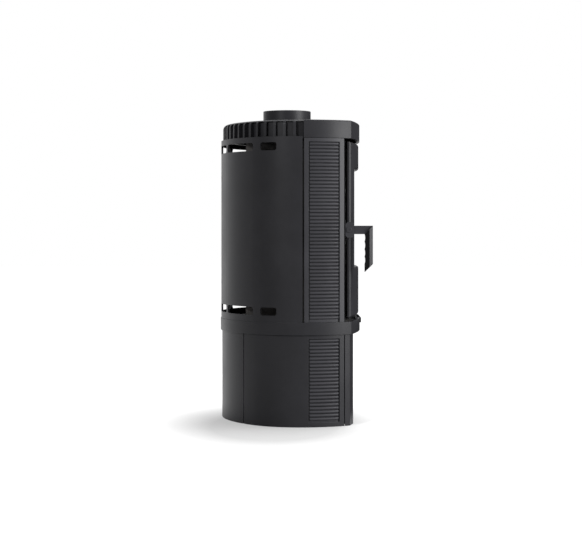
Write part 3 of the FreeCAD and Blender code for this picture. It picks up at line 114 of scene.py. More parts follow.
class StoveFinish(bpy.types.PropertyGroup):
    """Colours and grain of the stove's finishes."""

    casting_colour: bpy.props.FloatVectorProperty(
        name="Casting paint", description="Matt charcoal paint on the castings", subtype="COLOR", size=3,
        min=0, max=1, default=(0.0150, 0.0149, 0.0167))
    # Lighter copy of the casting paint: painted light on the ribbed panels, the handle's bracket and arm
    # and the painted screws.
    lighter_paint_colour: bpy.props.FloatVectorProperty(
        name="Panel paint", description="Paler paint on ribbed panels, handle bracket and handle arm",
        subtype="COLOR", size=3, min=0, max=1, default=(0.0270, 0.0268, 0.0300))
    sheet_colour: bpy.props.FloatVectorProperty(
        name="Casing paint", description="Matt charcoal paint on the back casing", subtype="COLOR",
        size=3, min=0, max=1, default=(0.0145, 0.0144, 0.0162))
    iron_colour: bpy.props.FloatVectorProperty(
        name="Hearth iron", description="Bare iron round the fire", subtype="COLOR", size=3,
        min=0, max=1, default=(0.040, 0.038, 0.037))
    plated_colour: bpy.props.FloatVectorProperty(
        name="Plated sheet", description="Plated sheet steel of the ash pan and the glass clips",
        subtype="COLOR", size=3, min=0, max=1, default=(0.42, 0.42, 0.41))
    fastener_colour: bpy.props.FloatVectorProperty(
        name="Fasteners", description="Blackened steel of the bolts, pins and air slide", subtype="COLOR",
        size=3, min=0, max=1, default=(0.085, 0.086, 0.09))
    brick_colour: bpy.props.FloatVectorProperty(
        name="Fire brick", description="Pressed fire brick", subtype="COLOR", size=3,
        min=0, max=1, default=(0.50, 0.40, 0.27))
    # Near-black painted shade on the grip's side that faces the stove's back, and on the air knob.
    painted_shade_colour: bpy.props.FloatVectorProperty(
        name="Grip coat", description="Black coat on the finger side of the grip and on the air knob",
        subtype="COLOR", size=3, min=0, max=1, default=(0.0035, 0.0035, 0.0037))
    rope_colour: bpy.props.FloatVectorProperty(
        name="Rope seal", description="Glass fibre of the seals", subtype="COLOR", size=3,
        min=0, max=1, default=(0.035, 0.034, 0.033))
    grain_size: bpy.props.FloatProperty(
        name="Casting grain", description="Size of the sand grain on the castings", unit="LENGTH",
        subtype="DISTANCE", default=1.4 * MM)


class StoveEdges(bpy.types.PropertyGroup):
    """Rounding of edges and the lay of the rope."""

    casting_round: bpy.props.FloatProperty(
        name="Casting edge", description="Radius worked onto the edges of the castings", unit="LENGTH",
        subtype="DISTANCE", default=0.9 * MM)
    rope_pitch: bpy.props.FloatProperty(
        name="Rope pitch", description="Length of one full turn of the rope's strands", unit="LENGTH",
        subtype="DISTANCE", default=15 * MM)


class StoveStage(bpy.types.PropertyGroup):
    """Camera, floor and lamps."""

    camera_place: bpy.props.FloatVectorProperty(
        name="Camera place", description="Where the camera stands", subtype="TRANSLATION", unit="LENGTH",
        size=3, default=(-5.575, 0.025, 0.639))
    lens: bpy.props.FloatProperty(
        name="Lens", description="Focal length in millimetres", subtype="DISTANCE_CAMERA", unit="CAMERA",
        default=102.06)
    drop: bpy.props.FloatProperty(
        name="Lens drop", description="Downward shift of the lens, a share of the frame's width",
        default=-0.0773)
    floor_size: bpy.props.FloatProperty(
        name="Floor", description="Side of the square floor", unit="LENGTH", subtype="DISTANCE",
        default=40.0)
    fill_power: bpy.props.FloatProperty(
        name="Fill lamp", description="Power of the small lamp high to the left of the camera",
        subtype="POWER", unit="POWER", default=100.0)
    front_power: bpy.props.FloatProperty(
        name="Front lamp", description="Power of the tall lamp before the door", subtype="POWER",
        unit="POWER", default=300.0)
    rear_power: bpy.props.FloatProperty(
        name="Rear lamp", description="Power of the tall lamp behind the far side", subtype="POWER",
        unit="POWER", default=6.0)
    far_power: bpy.props.FloatProperty(
        name="Far lamp", description="Power of the high lamp over the far rear corner", subtype="POWER",
        unit="POWER", default=250.0)
    top_power: bpy.props.FloatProperty(
        name="Top lamp", description="Power of the wide lamp overhead", subtype="POWER", unit="POWER",
        default=110.0)
    room_light: bpy.props.FloatProperty(
        name="Room light", description="Strength of the even light from all round", default=0.1)


class Tree:
    """Adds nodes to a node tree and feeds their sockets with values or links."""

    def __init__(self, tree):
        self.tree = tree

    def add(self, kind, inputs=None, **settings):
        """Adds one node; inputs maps socket names or numbers to values or other sockets."""
        node = self.tree.nodes.new(kind)
        for key, value in settings.items():
            setattr(node, key, value)
        for socket, value in (inputs or {}).items():
            self.feed(node.inputs[socket], value)
        return node

    def feed(self, socket, value):
        """Links a socket to another, or sets its own value."""
        if isinstance(value, bpy.types.NodeSocket):
            self.tree.links.new(value, socket)
        else:
            socket.default_value = value

    def noise(self, vector, scale, detail=2.0, roughness=0.5, stretch=None):
        """Returns the value of a noise texture, stretched along an axis where asked."""
        if stretch:
            mapping = {"Vector": vector, "Scale": stretch}
            vector = self.add("ShaderNodeMapping", mapping).outputs["Vector"]
        spec = {"Vector": vector, "Scale": scale, "Detail": detail, "Roughness": roughness}
        return self.add("ShaderNodeTexNoise", spec).outputs["Fac"]

    def ramp(self, value, low, high, start=0.0, end=1.0):
        """Maps a value from one span to another, clamped."""
        spec = {"Value": value, "From Min": low, "From Max": high, "To Min": start, "To Max": end}
        return self.add("ShaderNodeMapRange", spec).outputs["Result"]

    def math(self, operation, *values):
        """Returns the result of a maths node."""
        return self.add("ShaderNodeMath", dict(enumerate(values)), operation=operation).outputs[0]

    def vector_math(self, operation, *values):
        """Returns the outputs of a vector maths node."""
        return self.add("ShaderNodeVectorMath", dict(enumerate(values)), operation=operation).outputs

    def mix(self, factor, first, second):
        """Mixes two colours."""
        node = self.add("ShaderNodeMix", data_type="RGBA")
        colours = [socket for socket in node.inputs if socket.type == "RGBA"]
        self.feed(node.inputs[0], factor)
        for socket, colour in zip(colours, (first, second)):
            self.feed(socket, colour)
        return next(socket for socket in node.outputs if socket.type == "RGBA")

    def group(self, name, inputs):
        """Places a shared node group and returns its outputs."""
        node = self.add("ShaderNodeGroup", node_tree=bpy.data.node_groups[name])
        for socket, value in inputs.items():
            self.feed(node.inputs[socket], value)
        return node.outputs


def start_group(name, inputs, outputs):
    """Makes an empty shader node group with float inputs and outputs, and returns its tree and ends."""
    group = bpy.data.node_groups.new(name, "ShaderNodeTree")
    for title, value in inputs.items():
        socket = group.interface.new_socket(title, in_out="INPUT", socket_type="NodeSocketFloat")
        socket.default_value = value
    for title in outputs:
        group.interface.new_socket(title, in_out="OUTPUT", socket_type="NodeSocketFloat")
    tree = Tree(group)
    return tree, tree.add("NodeGroupInput").outputs, tree.add("NodeGroupOutput").inputs


def object_place(tree):
    """Returns the Object coordinates."""
    return tree.add("ShaderNodeTexCoord").outputs["Object"]


def make_sand_grain():
    """The grain of a sand casting under paint: a fine height, and a slow cloud of tone."""
    tree, given, out = start_group("sand_grain", {"Scale": 700.0}, ("Height", "Cloud"))
    place = object_place(tree)
    fine = tree.noise(place, given["Scale"], 3.0, 0.6)
    broad = tree.noise(place, tree.math("MULTIPLY", given["Scale"], 0.14), 2.0)
    tree.feed(out["Height"], tree.math("MULTIPLY_ADD", broad, 0.6, fine))
    tree.feed(out["Cloud"], tree.noise(place, 7.0, 4.0, 0.6))


def make_edge_wear_and_highlight():
    """A mask of the outer edges, broken up by noise, for polished paint and bare metal, and a painted
    highlight on the paint.
    """
    tree, given, out = start_group("worn_edge", {"Reach": 2.0 * MM, "Amount": 0.5}, ("Mask",))
    rounded = tree.add("ShaderNodeBevel", {"Radius": given["Reach"]}, samples=4).outputs["Normal"]
    flat = tree.add("ShaderNodeNewGeometry").outputs["True Normal"]
    turn = tree.vector_math("DOT_PRODUCT", rounded, flat)["Value"]
    edge = tree.ramp(turn, 0.995, 0.85)
    place = object_place(tree)
    breaks = tree.ramp(tree.noise(place, 90.0, 3.0), 0.3, 0.7)
    tree.feed(out["Mask"], tree.math("MULTIPLY", tree.math("MULTIPLY", edge, breaks), given["Amount"]))


def make_painted_groove_shade():
    """A mask of painted shade that darkens grooves and inner corners, as far as they are sheltered."""
    tree, given, out = start_group("groove_dirt", {"Reach": 5.0 * MM, "Amount": 0.7}, ("Mask",))
    shelter = {"Distance": given["Reach"]}
    openness = tree.add("ShaderNodeAmbientOcclusion", shelter, samples=8, only_local=True).outputs["AO"]
    tree.feed(out["Mask"], tree.math("MULTIPLY", tree.ramp(openness, 0.95, 0.5), given["Amount"]))


def make_soot():
    """A mask of soot that gathers in broad drifts and fine specks."""
    tree, given, out = start_group("soot", {"Scale": 9.0, "Amount": 0.5}, ("Mask",))
    place = object_place(tree)
    drift = tree.noise(place, given["Scale"], 5.0, 0.6)
    speck = tree.noise(place, 260.0, 2.0)
    level = tree.math("MULTIPLY_ADD", speck, 0.25, drift)
    tree.feed(out["Mask"], tree.math("MULTIPLY", tree.ramp(level, 0.45, 0.85), given["Amount"]))


def tint(colour, factor):
    """Returns a colour lightened or darkened by a factor, with alpha."""
    return tuple(min(1.0, part * factor) for part in colour) + (1.0,)


def start_material(name, **sockets):
    """Makes a material with one Principled shader, and returns it with its tree and shader."""
    material = bpy.data.materials.new(name)
    material.use_nodes = True
    tree = Tree(material.node_tree)
    shader = material.node_tree.nodes["Principled BSDF"]
    for title, value in sockets.items():
        shader.inputs[title.replace("_", " ")].default_value = value
    return material, tree, shader.inputs


def bump(tree, height, distance):
    """Returns a normal bent by a height."""
    return tree.add("ShaderNodeBump", {"Height": height, "Distance": distance}).outputs["Normal"]


def charcoal_paint(name, colour, grain, depth, shade_amount=0.8):
    """Matt charcoal stove paint: cloudy tone, fine grain, polished edges with some painted highlight, and
    painted shade in grooves.
    """
    material, tree, shader = start_material(name, Specular_IOR_Level=0.09)
    skin = tree.group("sand_grain", {"Scale": 1.0 / grain})
    # Edges lighter and less rough: partly wear, partly a painted highlight.
    edge = tree.group("worn_edge", {"Reach": 1.6 * MM, "Amount": 0.5})["Mask"]
    # Painted shade: the paint turns darker in grooves and inner corners.
    shade_mask = tree.group("groove_dirt", {"Reach": 5.0 * MM, "Amount": shade_amount})["Mask"]
    body = tree.mix(tree.ramp(skin["Cloud"], 0.3, 0.7), tint(colour, 0.86), tint(colour, 1.16))
    shaded_body = tree.mix(shade_mask, body, tint(colour, 0.25))
    tree.feed(shader["Base Color"], tree.mix(edge, shaded_body, tint(colour, 2.2)))
    haze = tree.ramp(skin["Cloud"], 0.25, 0.75, PAINT_ROUGHNESS - 0.04, PAINT_ROUGHNESS + 0.05)
    tree.feed(shader["Roughness"], tree.math("MULTIPLY_ADD", edge, -0.12, haze))
    tree.feed(shader["Normal"], bump(tree, skin["Height"], depth))
    return material


def hearth_iron(colour):
    """Bare iron that has seen fire: scale, a rusty tint and soot."""
    material, tree, shader = start_material("hearth_iron", Metallic=0.35, Specular_IOR_Level=0.4)
    skin = tree.group("sand_grain", {"Scale": 420.0})
    soot = tree.group("soot", {"Scale": 6.0, "Amount": 0.8})["Mask"]
    rust = tree.ramp(tree.noise(object_place(tree), 38.0, 5.0, 0.65), 0.55, 0.75, 0.0, 0.28)
    body = tree.mix(tree.ramp(skin["Cloud"], 0.3, 0.7), tint(colour, 0.75), tint(colour, 1.3))
    heated = tree.mix(rust, body, (0.060, 0.037, 0.026, 1.0))
    tree.feed(shader["Base Color"], tree.mix(soot, heated, (0.012, 0.0115, 0.011, 1.0)))
    tree.feed(shader["Roughness"], tree.ramp(soot, 0.0, 0.8, 0.62, 0.92))
    tree.feed(shader["Normal"], bump(tree, skin["Height"], 0.35 * MM))
    return material


def plated_sheet(colour):
    """Plated sheet steel with a rolled streak and dull patches."""
    material, tree, shader = start_material("plated_sheet", Metallic=0.9)
    place = object_place(tree)
    streak = tree.noise(place, 60.0, 3.0, stretch=(0.15, 6.0, 6.0))
    patch = tree.noise(place, 24.0, 3.0)
    edge = tree.group("worn_edge", {"Reach": 1.0 * MM, "Amount": 0.5})["Mask"]
    body = tree.mix(tree.ramp(patch, 0.3, 0.7), tint(colour, 0.8), tint(colour, 1.1))
    tree.feed(shader["Base Color"], tree.mix(edge, body, tint(colour, 1.5)))
    tree.feed(shader["Roughness"], tree.ramp(streak, 0.3, 0.7, 0.34, 0.5))
    tree.feed(shader["Normal"], bump(tree, streak, 0.05 * MM))
    return material


def black_steel(colour):
    """Blackened steel of screws, bolts and pins, with brighter corners."""
    material, tree, shader = start_material("black_steel", Metallic=0.85)
    place = object_place(tree)
    oil = tree.noise(place, 160.0, 3.0)
    edge = tree.group("worn_edge", {"Reach": 0.6 * MM, "Amount": 0.8})["Mask"]
    body = tree.mix(tree.ramp(oil, 0.3, 0.7), tint(colour, 0.75), tint(colour, 1.25))
    tree.feed(shader["Base Color"], tree.mix(edge, body, tint(colour, 3.0)))
    tree.feed(shader["Roughness"], tree.ramp(oil, 0.3, 0.7, 0.32, 0.48))
    tree.feed(shader["Normal"], bump(tree, tree.noise(place, 900.0, 2.0), 0.03 * MM))
    return material


def fire_brick(colour):
    """Pressed fire brick: flecked, pitted, and smoked where the fire reaches it."""
    material, tree, shader = start_material("fire_brick", Specular_IOR_Level=0.2)
    place = object_place(tree)
    fleck = tree.ramp(tree.noise(place, 420.0, 2.0, 0.6), 0.35, 0.65)
    cells = tree.add("ShaderNodeTexVoronoi", {"Vector": place, "Scale": 150.0}).outputs
    pits = tree.ramp(cells["Distance"], 0.05, 0.3)
    soot = tree.group("soot", {"Scale": 5.0, "Amount": 0.75})["Mask"]
    edge = tree.group("worn_edge", {"Reach": 3.0 * MM, "Amount": 0.6})["Mask"]
    body = tree.mix(fleck, tint(colour, 0.72), tint(colour, 1.12))
    worn = tree.mix(edge, body, tint(colour, 1.4))
    tree.feed(shader["Base Color"], tree.mix(soot, worn, (0.045, 0.038, 0.032, 1.0)))
    tree.feed(shader["Roughness"], tree.ramp(fleck, 0.0, 1.0, 0.82, 0.95))
    tree.feed(shader["Normal"], bump(tree, tree.math("MULTIPLY_ADD", fleck, 0.4, pits), 0.5 * MM))
    return material


def glass_fibre(name, colour, scale):
    """Spun glass fibre of the seals: fine threads with a grey bloom."""
    material, tree, shader = start_material(name, Specular_IOR_Level=0.15, Sheen_Weight=0.25)
    place = object_place(tree)
    thread = tree.noise(place, scale, 2.0, 0.7)
    bloom = tree.noise(place, 30.0, 3.0)
    soot = tree.group("soot", {"Scale": 14.0, "Amount": 0.35})["Mask"]
    body = tree.mix(tree.ramp(thread, 0.3, 0.7), tint(colour, 0.6), tint(colour, 1.25))
    faded = tree.mix(tree.ramp(bloom, 0.4, 0.7, 0.0, 0.4), body, tint(colour, 1.6))
    tree.feed(shader["Base Color"], tree.mix(soot, faded, tint(colour, 0.15)))
    tree.feed(shader["Roughness"], tree.ramp(thread, 0.3, 0.7, 0.85, 1.0))
    tree.feed(shader["Normal"], bump(tree, thread, 0.4 * MM))
    return material


def ceramic_glass():
    """Clear ceramic glass with a smoke film that thickens toward its edges."""
    material, tree, shader = start_material(
        "ceramic_glass", Transmission_Weight=0.92, IOR=1.5, Metallic=0.0)
    low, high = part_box("door_glass")
    place = object_place(tree)
    off_centre = tree.vector_math("SUBTRACT", place, (low + high) / 2)["Vector"]
    share = tree.vector_math("DIVIDE", off_centre, (high - low) / 2)["Vector"]
    parts = tree.add("ShaderNodeSeparateXYZ", {"Vector": share}).outputs
    margin = tree.math("MAXIMUM", tree.math("ABSOLUTE", parts["X"]), tree.math("ABSOLUTE", parts["Z"]))
    drift = tree.noise(place, 9.0, 4.0, 0.6)
    film = tree.ramp(tree.math("MULTIPLY_ADD", drift, 0.5, margin), 0.75, 1.35)
    tree.feed(shader["Base Color"], tree.mix(film, (0.64, 0.62, 0.58, 1.0), (0.36, 0.32, 0.27, 1.0)))
    tree.feed(shader["Roughness"], tree.ramp(film, 0.0, 1.0, 0.03, 0.16))
    return material


def dress_node(name, material):
    """Gives a CAD node its finish."""
    node = NODES[name]
    if not node.material_slots:
        node.data.materials.append(material)
    for slot in node.material_slots:
        slot.material = material


def new_piece(name, mesh_maker, material, body, slot, *nodes):
    """Turns a bmesh into an object that rides on a body and stands for CAD nodes."""
    mesh = bpy.data.meshes.new(name)
    mesh_maker.to_mesh(mesh)
    mesh_maker.free()
    mesh.materials.append(material)
    piece = bpy.data.objects.new(name, mesh)
    bpy.context.scene.collection.objects.link(piece)
    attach(piece, body)
    if nodes:
        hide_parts(*nodes)
    even = piece.modifiers.new("even_shading", "WEIGHTED_NORMAL")
    even.keep_sharp = True
    return piece


def body_of(node):
    """Returns the name of the CAD body that a node belongs to."""
    bodies = frame["record"]["behaviour"]["bodies"]
    return next(body for body, members in bodies.items() if node in members)


def merged_copy(node):
    """Copies a CAD node into a bmesh with its triangles joined and its flat faces whole."""
    work = bmesh.new()
    work.from_mesh(NODES[node].data)
    bmesh.ops.remove_doubles(work, verts=work.verts, dist=WELD)
    bmesh.ops.dissolve_limit(work, angle_limit=FLAT_WITHIN, verts=work.verts, edges=work.edges)
    return work


def shade_smooth(work, keep_sharp=True):
    """Shades a shape smooth, with its sharper edges kept where asked."""
    for face in work.faces:
        face.smooth = True
    if keep_sharp:
        for edge in work.edges:
            edge.smooth = edge.is_manifold and edge.calc_face_angle() < SMOOTH_BELOW


def soften_edges(work, radius):
    """Rounds the outer edges of a casting and shades it smooth between them."""
    rounded_from = math.radians(38)
    shortest = 0.4 * MM
    outer = [edge for edge in work.edges if edge.is_manifold and edge.is_convex
             and edge.calc_face_angle() > rounded_from and edge.calc_length() > shortest]
    bmesh.ops.bevel(work, geom=outer, offset=radius, offset_type="OFFSET", segments=2, profile=0.5,
                    affect="EDGES", clamp_overlap=False, material=-1)
    shade_smooth(work)


def grip_coat(colour):
    """Near-black painted shade for the grip's shaded side and the air knob, with a fine speckle."""
    material, tree, shader = start_material("grip_coat", Specular_IOR_Level=0.06)
    speckle = tree.noise(object_place(tree), 700.0, 3.0, 0.6)
    tree.feed(shader["Base Color"], tree.mix(speckle, tint(colour, 0.7), tint(colour, 1.4)))
    tree.feed(shader["Roughness"], tree.ramp(speckle, 0.3, 0.7, 0.55, 0.7))
    tree.feed(shader["Normal"], bump(tree, speckle, 0.08 * MM))
    return material


def paint_handle_shade_and_light(handle, coat, lit_arm_paint):
    """Paints shade near-black on the grip side facing the stove's back, and gives the arm the lighter copy
    of the paint, which is painted light.
    """
    handle.data.materials.append(coat)
    handle.data.materials.append(lit_arm_paint)
    shade_index, arm_index = 1, 2
    arm_height = 27 * MM
    toward_shaded_side = 0.2
    below_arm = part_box("door_handle")[1].z - arm_height
    # The arm gets the lighter paint; the grip's faces toward the stove's back get the painted shade.
    for face in handle.data.polygons:
        if face.center.z > below_arm:
            face.material_index = arm_index
        elif face.normal.y > toward_shaded_side:
            face.material_index = shade_index


def light_ribbed_field(panel, paint):
    """Paints the ribbed field of a panel with the lighter copy of the paint, which is painted light: all
    that faces out within the box of the sloping faces.
    """
    outer = [face for face in panel.data.polygons if face.normal.x * face.center.x > 0]
    low, high = (pick(vert.co.z for vert in panel.data.vertices) for pick in (min, max))
    margin = 10 * MM
    least_slope, most_slope = 0.2, 0.9
    slopes = [face.center for face in outer if least_slope < abs(face.normal.z) < most_slope
              and low + margin < face.center.z < high - margin]
    limits = [(min(place[i] for place in slopes), max(place[i] for place in slopes)) for i in (1, 2)]
    panel.data.materials.append(paint)
    for face in outer:
        if all(least <= face.center[i] <= most for i, (least, most) in zip((1, 2), limits)):
            face.material_index = 1


class STOVE_OT_soften_castings(bpy.types.Operator):
    """Paint the castings and round their edges"""

    bl_idname = "stove.soften_castings"
    bl_label = "Soften castings"

    def execute(self, context):
        finish = context.scene.stove_finish
        grain = (finish.grain_size, CASTING_GRAIN_DEPTH)
        paint = charcoal_paint("casting_paint", finish.casting_colour, *grain)
        panel_paint = charcoal_paint("panel_paint", finish.lighter_paint_colour, *grain)
        coat = grip_coat(finish.painted_shade_colour)
        # The air knob gets the near-black painted shade; the side panels and the bracket get the lighter
        # copy of the paint, which is painted light.
        light_and_shade_paints = dict.fromkeys(LIT_CASTINGS, panel_paint) | {"air_knob": coat}
        for node in CASTINGS:
            dress_node(node, paint)
        for name, node in SOFTENED.items():
            work = merged_copy(node)
            soften_edges(work, context.scene.stove_edges.casting_round)
            slot = "painted_steel" if node == "flue_collar" else "cast_iron"
            piece = new_piece(name, work, light_and_shade_paints.get(node, paint), body_of(node), slot, node)
            if node == "door_handle":
                paint_handle_shade_and_light(piece, coat, panel_paint)
            if node in RIBBED_PLINTH:
                light_ribbed_field(piece, panel_paint)
        return {"FINISHED"}


class STOVE_OT_paint_sheets(bpy.types.Operator):
    """Paint the sheet steel of the back casing"""

    bl_idname = "stove.paint_sheets"
    bl_label = "Paint sheets"

    def execute(self, context):
        finish = context.scene.stove_finish
        paint = charcoal_paint("sheet_paint", finish.sheet_colour, FINE_GRAIN, FINE_GRAIN_DEPTH)
        dress_node("back_casing", paint)
        return {"FINISHED"}


class STOVE_OT_finish_hearth(bpy.types.Operator):
    """Finish the iron, bricks and baffle round the fire"""

    bl_idname = "stove.finish_hearth"
    bl_label = "Finish hearth"

    def execute(self, context):
        finish = context.scene.stove_finish
        iron = hearth_iron(finish.iron_colour)
        for node in HEARTH_IRON:
            dress_node(node, iron)
        brick = fire_brick(finish.brick_colour)
        for node in BRICKS:
            dress_node(node, brick)
        return {"FINISHED"}


class STOVE_OT_finish_metalwork(bpy.types.Operator):
    """Finish the plated sheet parts and the fasteners"""

    bl_idname = "stove.finish_metalwork"
    bl_label = "Finish metalwork"

    def execute(self, context):
        finish = context.scene.stove_finish
        plated = plated_sheet(finish.plated_colour)
        for node in PLATED:
            dress_node(node, plated)
        steel = black_steel(finish.fastener_colour)
        for node in BLACKENED:
            dress_node(node, steel)
        return {"FINISHED"}


def solid_boxes(node):
    """Returns the lowest and highest corners of each separate solid in a CAD node."""
    work = merged_copy(node)
    waiting = set(work.verts)
    boxes = []
    while waiting:
        island = set()
        shore = [waiting.pop()]
        while shore:
            vert = shore.pop()
            island.add(vert)
            near = {edge.other_vert(vert) for edge in vert.link_edges} & waiting
            waiting -= near
            shore.extend(near)
        spans = [[vert.co[i] for vert in island] for i in range(3)]
        boxes.append((Vector(map(min, spans)), Vector(map(max, spans))))
    work.free()
    return sorted(boxes, key=lambda box: box[0][:])


def socket_screw(work, radius, height, shank, length):
    """Makes a round screw along Z: a shank up to 0, and a domed head above it with a hexagon socket."""
    head_sides, shank_sides = 24, 16
    dome = 0.5 * height
    land = 0.3 * radius
    socket_radius, socket_depth = 0.42 * radius, 0.3 * height
    rim = bmesh.ops.create_circle(work, segments=head_sides, radius=radius, cap_ends=True)["verts"]
    wall = bmesh.ops.extrude_face_region(work, geom=list(rim[0].link_faces))["geom"]
    cap = next(item for item in wall if isinstance(item, bmesh.types.BMFace))
    bmesh.ops.translate(work, vec=(0, 0, height), verts=cap.verts)
    bmesh.ops.bevel(work, geom=list(cap.edges), offset=dome, offset_type="OFFSET", segments=4,
                    profile=0.5, affect="EDGES", clamp_overlap=True, material=-1)
    top = max(work.faces, key=lambda face: (len(face.verts), face.calc_center_median().z))
    bmesh.ops.inset_individual(work, faces=[top], thickness=land, use_even_offset=True)
    half_side = math.radians(30)
    for vert in top.verts:
        off_middle = math.atan2(vert.co.y, vert.co.x) % (2 * half_side) - half_side
        vert.co.xy = vert.co.xy.normalized() * socket_radius * math.cos(half_side) / math.cos(off_middle)
    bottom = bmesh.ops.extrude_discrete_faces(work, faces=[top])["faces"][0]
    bmesh.ops.translate(work, vec=(0, 0, -socket_depth), verts=bottom.verts)
    if length > 0:
        rod = bmesh.ops.create_cone(work, cap_ends=True, segments=shank_sides, depth=length,
                                    radius1=shank, radius2=shank)["verts"]
        bmesh.ops.translate(work, vec=(0, 0, -length / 2), verts=rod)


class STOVE_OT_drive_screws(bpy.types.Operator):
    """Drive the socket screws that show: the handle's pivot, the casing's and the glass clips'"""

    bl_idname = "stove.drive_screws"
    bl_label = "Drive screws"

    def execute(self, context):
        finish = context.scene.stove_finish
        steel = bpy.data.materials.get("black_steel") or black_steel(finish.fastener_colour)
        # The screws take the lighter copy of the paint, which is painted light, with a little painted
        # shade in their sockets.
        paint = charcoal_paint("screw_paint", finish.lighter_paint_colour, FINE_GRAIN, FINE_GRAIN_DEPTH, shade_amount=0.1)
        for node, outward, height, shank, coat in SCREWS:
            whole = bmesh.new()
            outward = Vector(outward)
            for low, high in solid_boxes(node):
                reach = (high - low) / 2
                across = [reach[i] for i in range(3) if not outward[i]]
                depth = 2 * abs(reach.dot(outward))
                seat = (low + high) / 2 + outward * (depth / 2 - height)
                screw = bmesh.new()
                socket_screw(screw, sum(across) / 2, height, shank, depth - height)
                turn = outward.to_track_quat("Z", "Y").to_matrix().to_4x4()
                bmesh.ops.transform(screw, matrix=Matrix.Translation(seat) @ turn, verts=screw.verts)
                single = bpy.data.meshes.new(node)
                screw.to_mesh(single)
                screw.free()
                whole.from_mesh(single)
                bpy.data.meshes.remove(single)
            bmesh.ops.recalc_face_normals(whole, faces=whole.faces)
            shade_smooth(whole)
            material = paint if coat == "paint" else steel
            new_piece("socket_" + node, whole, material, body_of(node), "fastener_steel", node)
        return {"FINISHED"}


class STOVE_OT_glaze_door(bpy.types.Operator):
    """Give the door its ceramic glass"""

    bl_idname = "stove.glaze_door"
    bl_label = "Glaze door"

    def execute(self, context):
        dress_node("door_glass", ceramic_glass())
        return {"FINISHED"}


def ring_point(along, half_width, half_height, corner):
    """Returns the place and outward direction at a length along a rectangle with round corners."""
    heading = Vector((1.0, 0.0))
    point = Vector((corner - half_width, -half_height))
    turn = Matrix.Rotation(math.radians(90), 2)
    arc = corner * math.pi / 2
    for run in (half_width, half_height) * 2:
        length = 2 * (run - corner)
        outward = Vector((heading.y, -heading.x))
        if along <= length:
            return point + heading * along, outward
        along -= length
        centre = point + heading * length - outward * corner
        if along <= arc:
            outward = Matrix.Rotation(along / corner, 2) @ outward
            return centre + outward * corner, outward
        along -= arc
        heading = turn @ heading
        point = centre + turn @ outward * corner
    return point, Vector((0.0, -1.0))


def ring_length(half_width, half_height, corner):
    """Returns the length round a rectangle with round corners."""
    return 4 * (half_width + half_height - 2 * corner) + 2 * math.pi * corner


def twist_strands(work, count, strand, offset, turns, length):
    """Spins strands one turn round the X axis, and repeats the turn along a straight rope."""
    pitch = length / turns
    sides, steps = 7, 10
    full_turn = 2 * math.pi
    face_along = Matrix.Rotation(math.radians(90), 4, "Y")
    for number in range(count):
        circle = bmesh.ops.create_circle(work, segments=sides, radius=strand)["verts"]
        place = Matrix.Rotation(full_turn * number / count, 4, "X") @ Matrix.Translation((0, offset, 0))
        bmesh.ops.transform(work, matrix=place @ face_along, verts=circle)
        edges = list(dict.fromkeys(edge for vert in circle for edge in vert.link_edges))
        bmesh.ops.spin(work, geom=circle + edges, cent=(0, 0, 0), axis=(1, 0, 0),
                       dvec=(pitch / steps, 0, 0), angle=full_turn, steps=steps, use_merge=False)
    turn = list(work.verts) + list(work.edges) + list(work.faces)
    for number in range(1, turns):
        copy = bmesh.ops.duplicate(work, geom=turn)["geom"]
        verts = [item for item in copy if isinstance(item, bmesh.types.BMVert)]
        bmesh.ops.translate(work, vec=(number * pitch, 0, 0), verts=verts)


class STOVE_OT_lay_door_rope(bpy.types.Operator):
    """Lay a twisted rope seal in the back of the door"""

    bl_idname = "stove.lay_door_rope"
    bl_label = "Lay door rope"

    def execute(self, context):
        low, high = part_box("door_seal")
        middle = (low + high) / 2
        reach = (high - low) / 2
        rope = 5 * MM
        strand, offset = 0.54 * rope, 0.46 * rope
        corner = 14 * MM
        ring = (reach.x - rope, reach.z - rope, corner)
        length = ring_length(*ring)
        turns = round(length / context.scene.stove_edges.rope_pitch)
        work = bmesh.new()
        twist_strands(work, 3, strand, offset, turns, length)
        flatten = reach.y / rope
        for vert in work.verts:
            along = min(max(vert.co.x, 0.0), length)
            point, outward = ring_point(along, *ring)
            place = point + outward * vert.co.y
            vert.co = middle + Vector((place.x, vert.co.z * flatten, place.y))
        bmesh.ops.remove_doubles(work, verts=work.verts, dist=2 * WELD)
        bmesh.ops.recalc_face_normals(work, faces=work.faces)
        shade_smooth(work, keep_sharp=False)
        fibre = glass_fibre("rope_fibre", context.scene.stove_finish.rope_colour, 900.0)
        new_piece("door_rope", work, fibre, "door", "rope_seal", "door_seal")
        return {"FINISHED"}


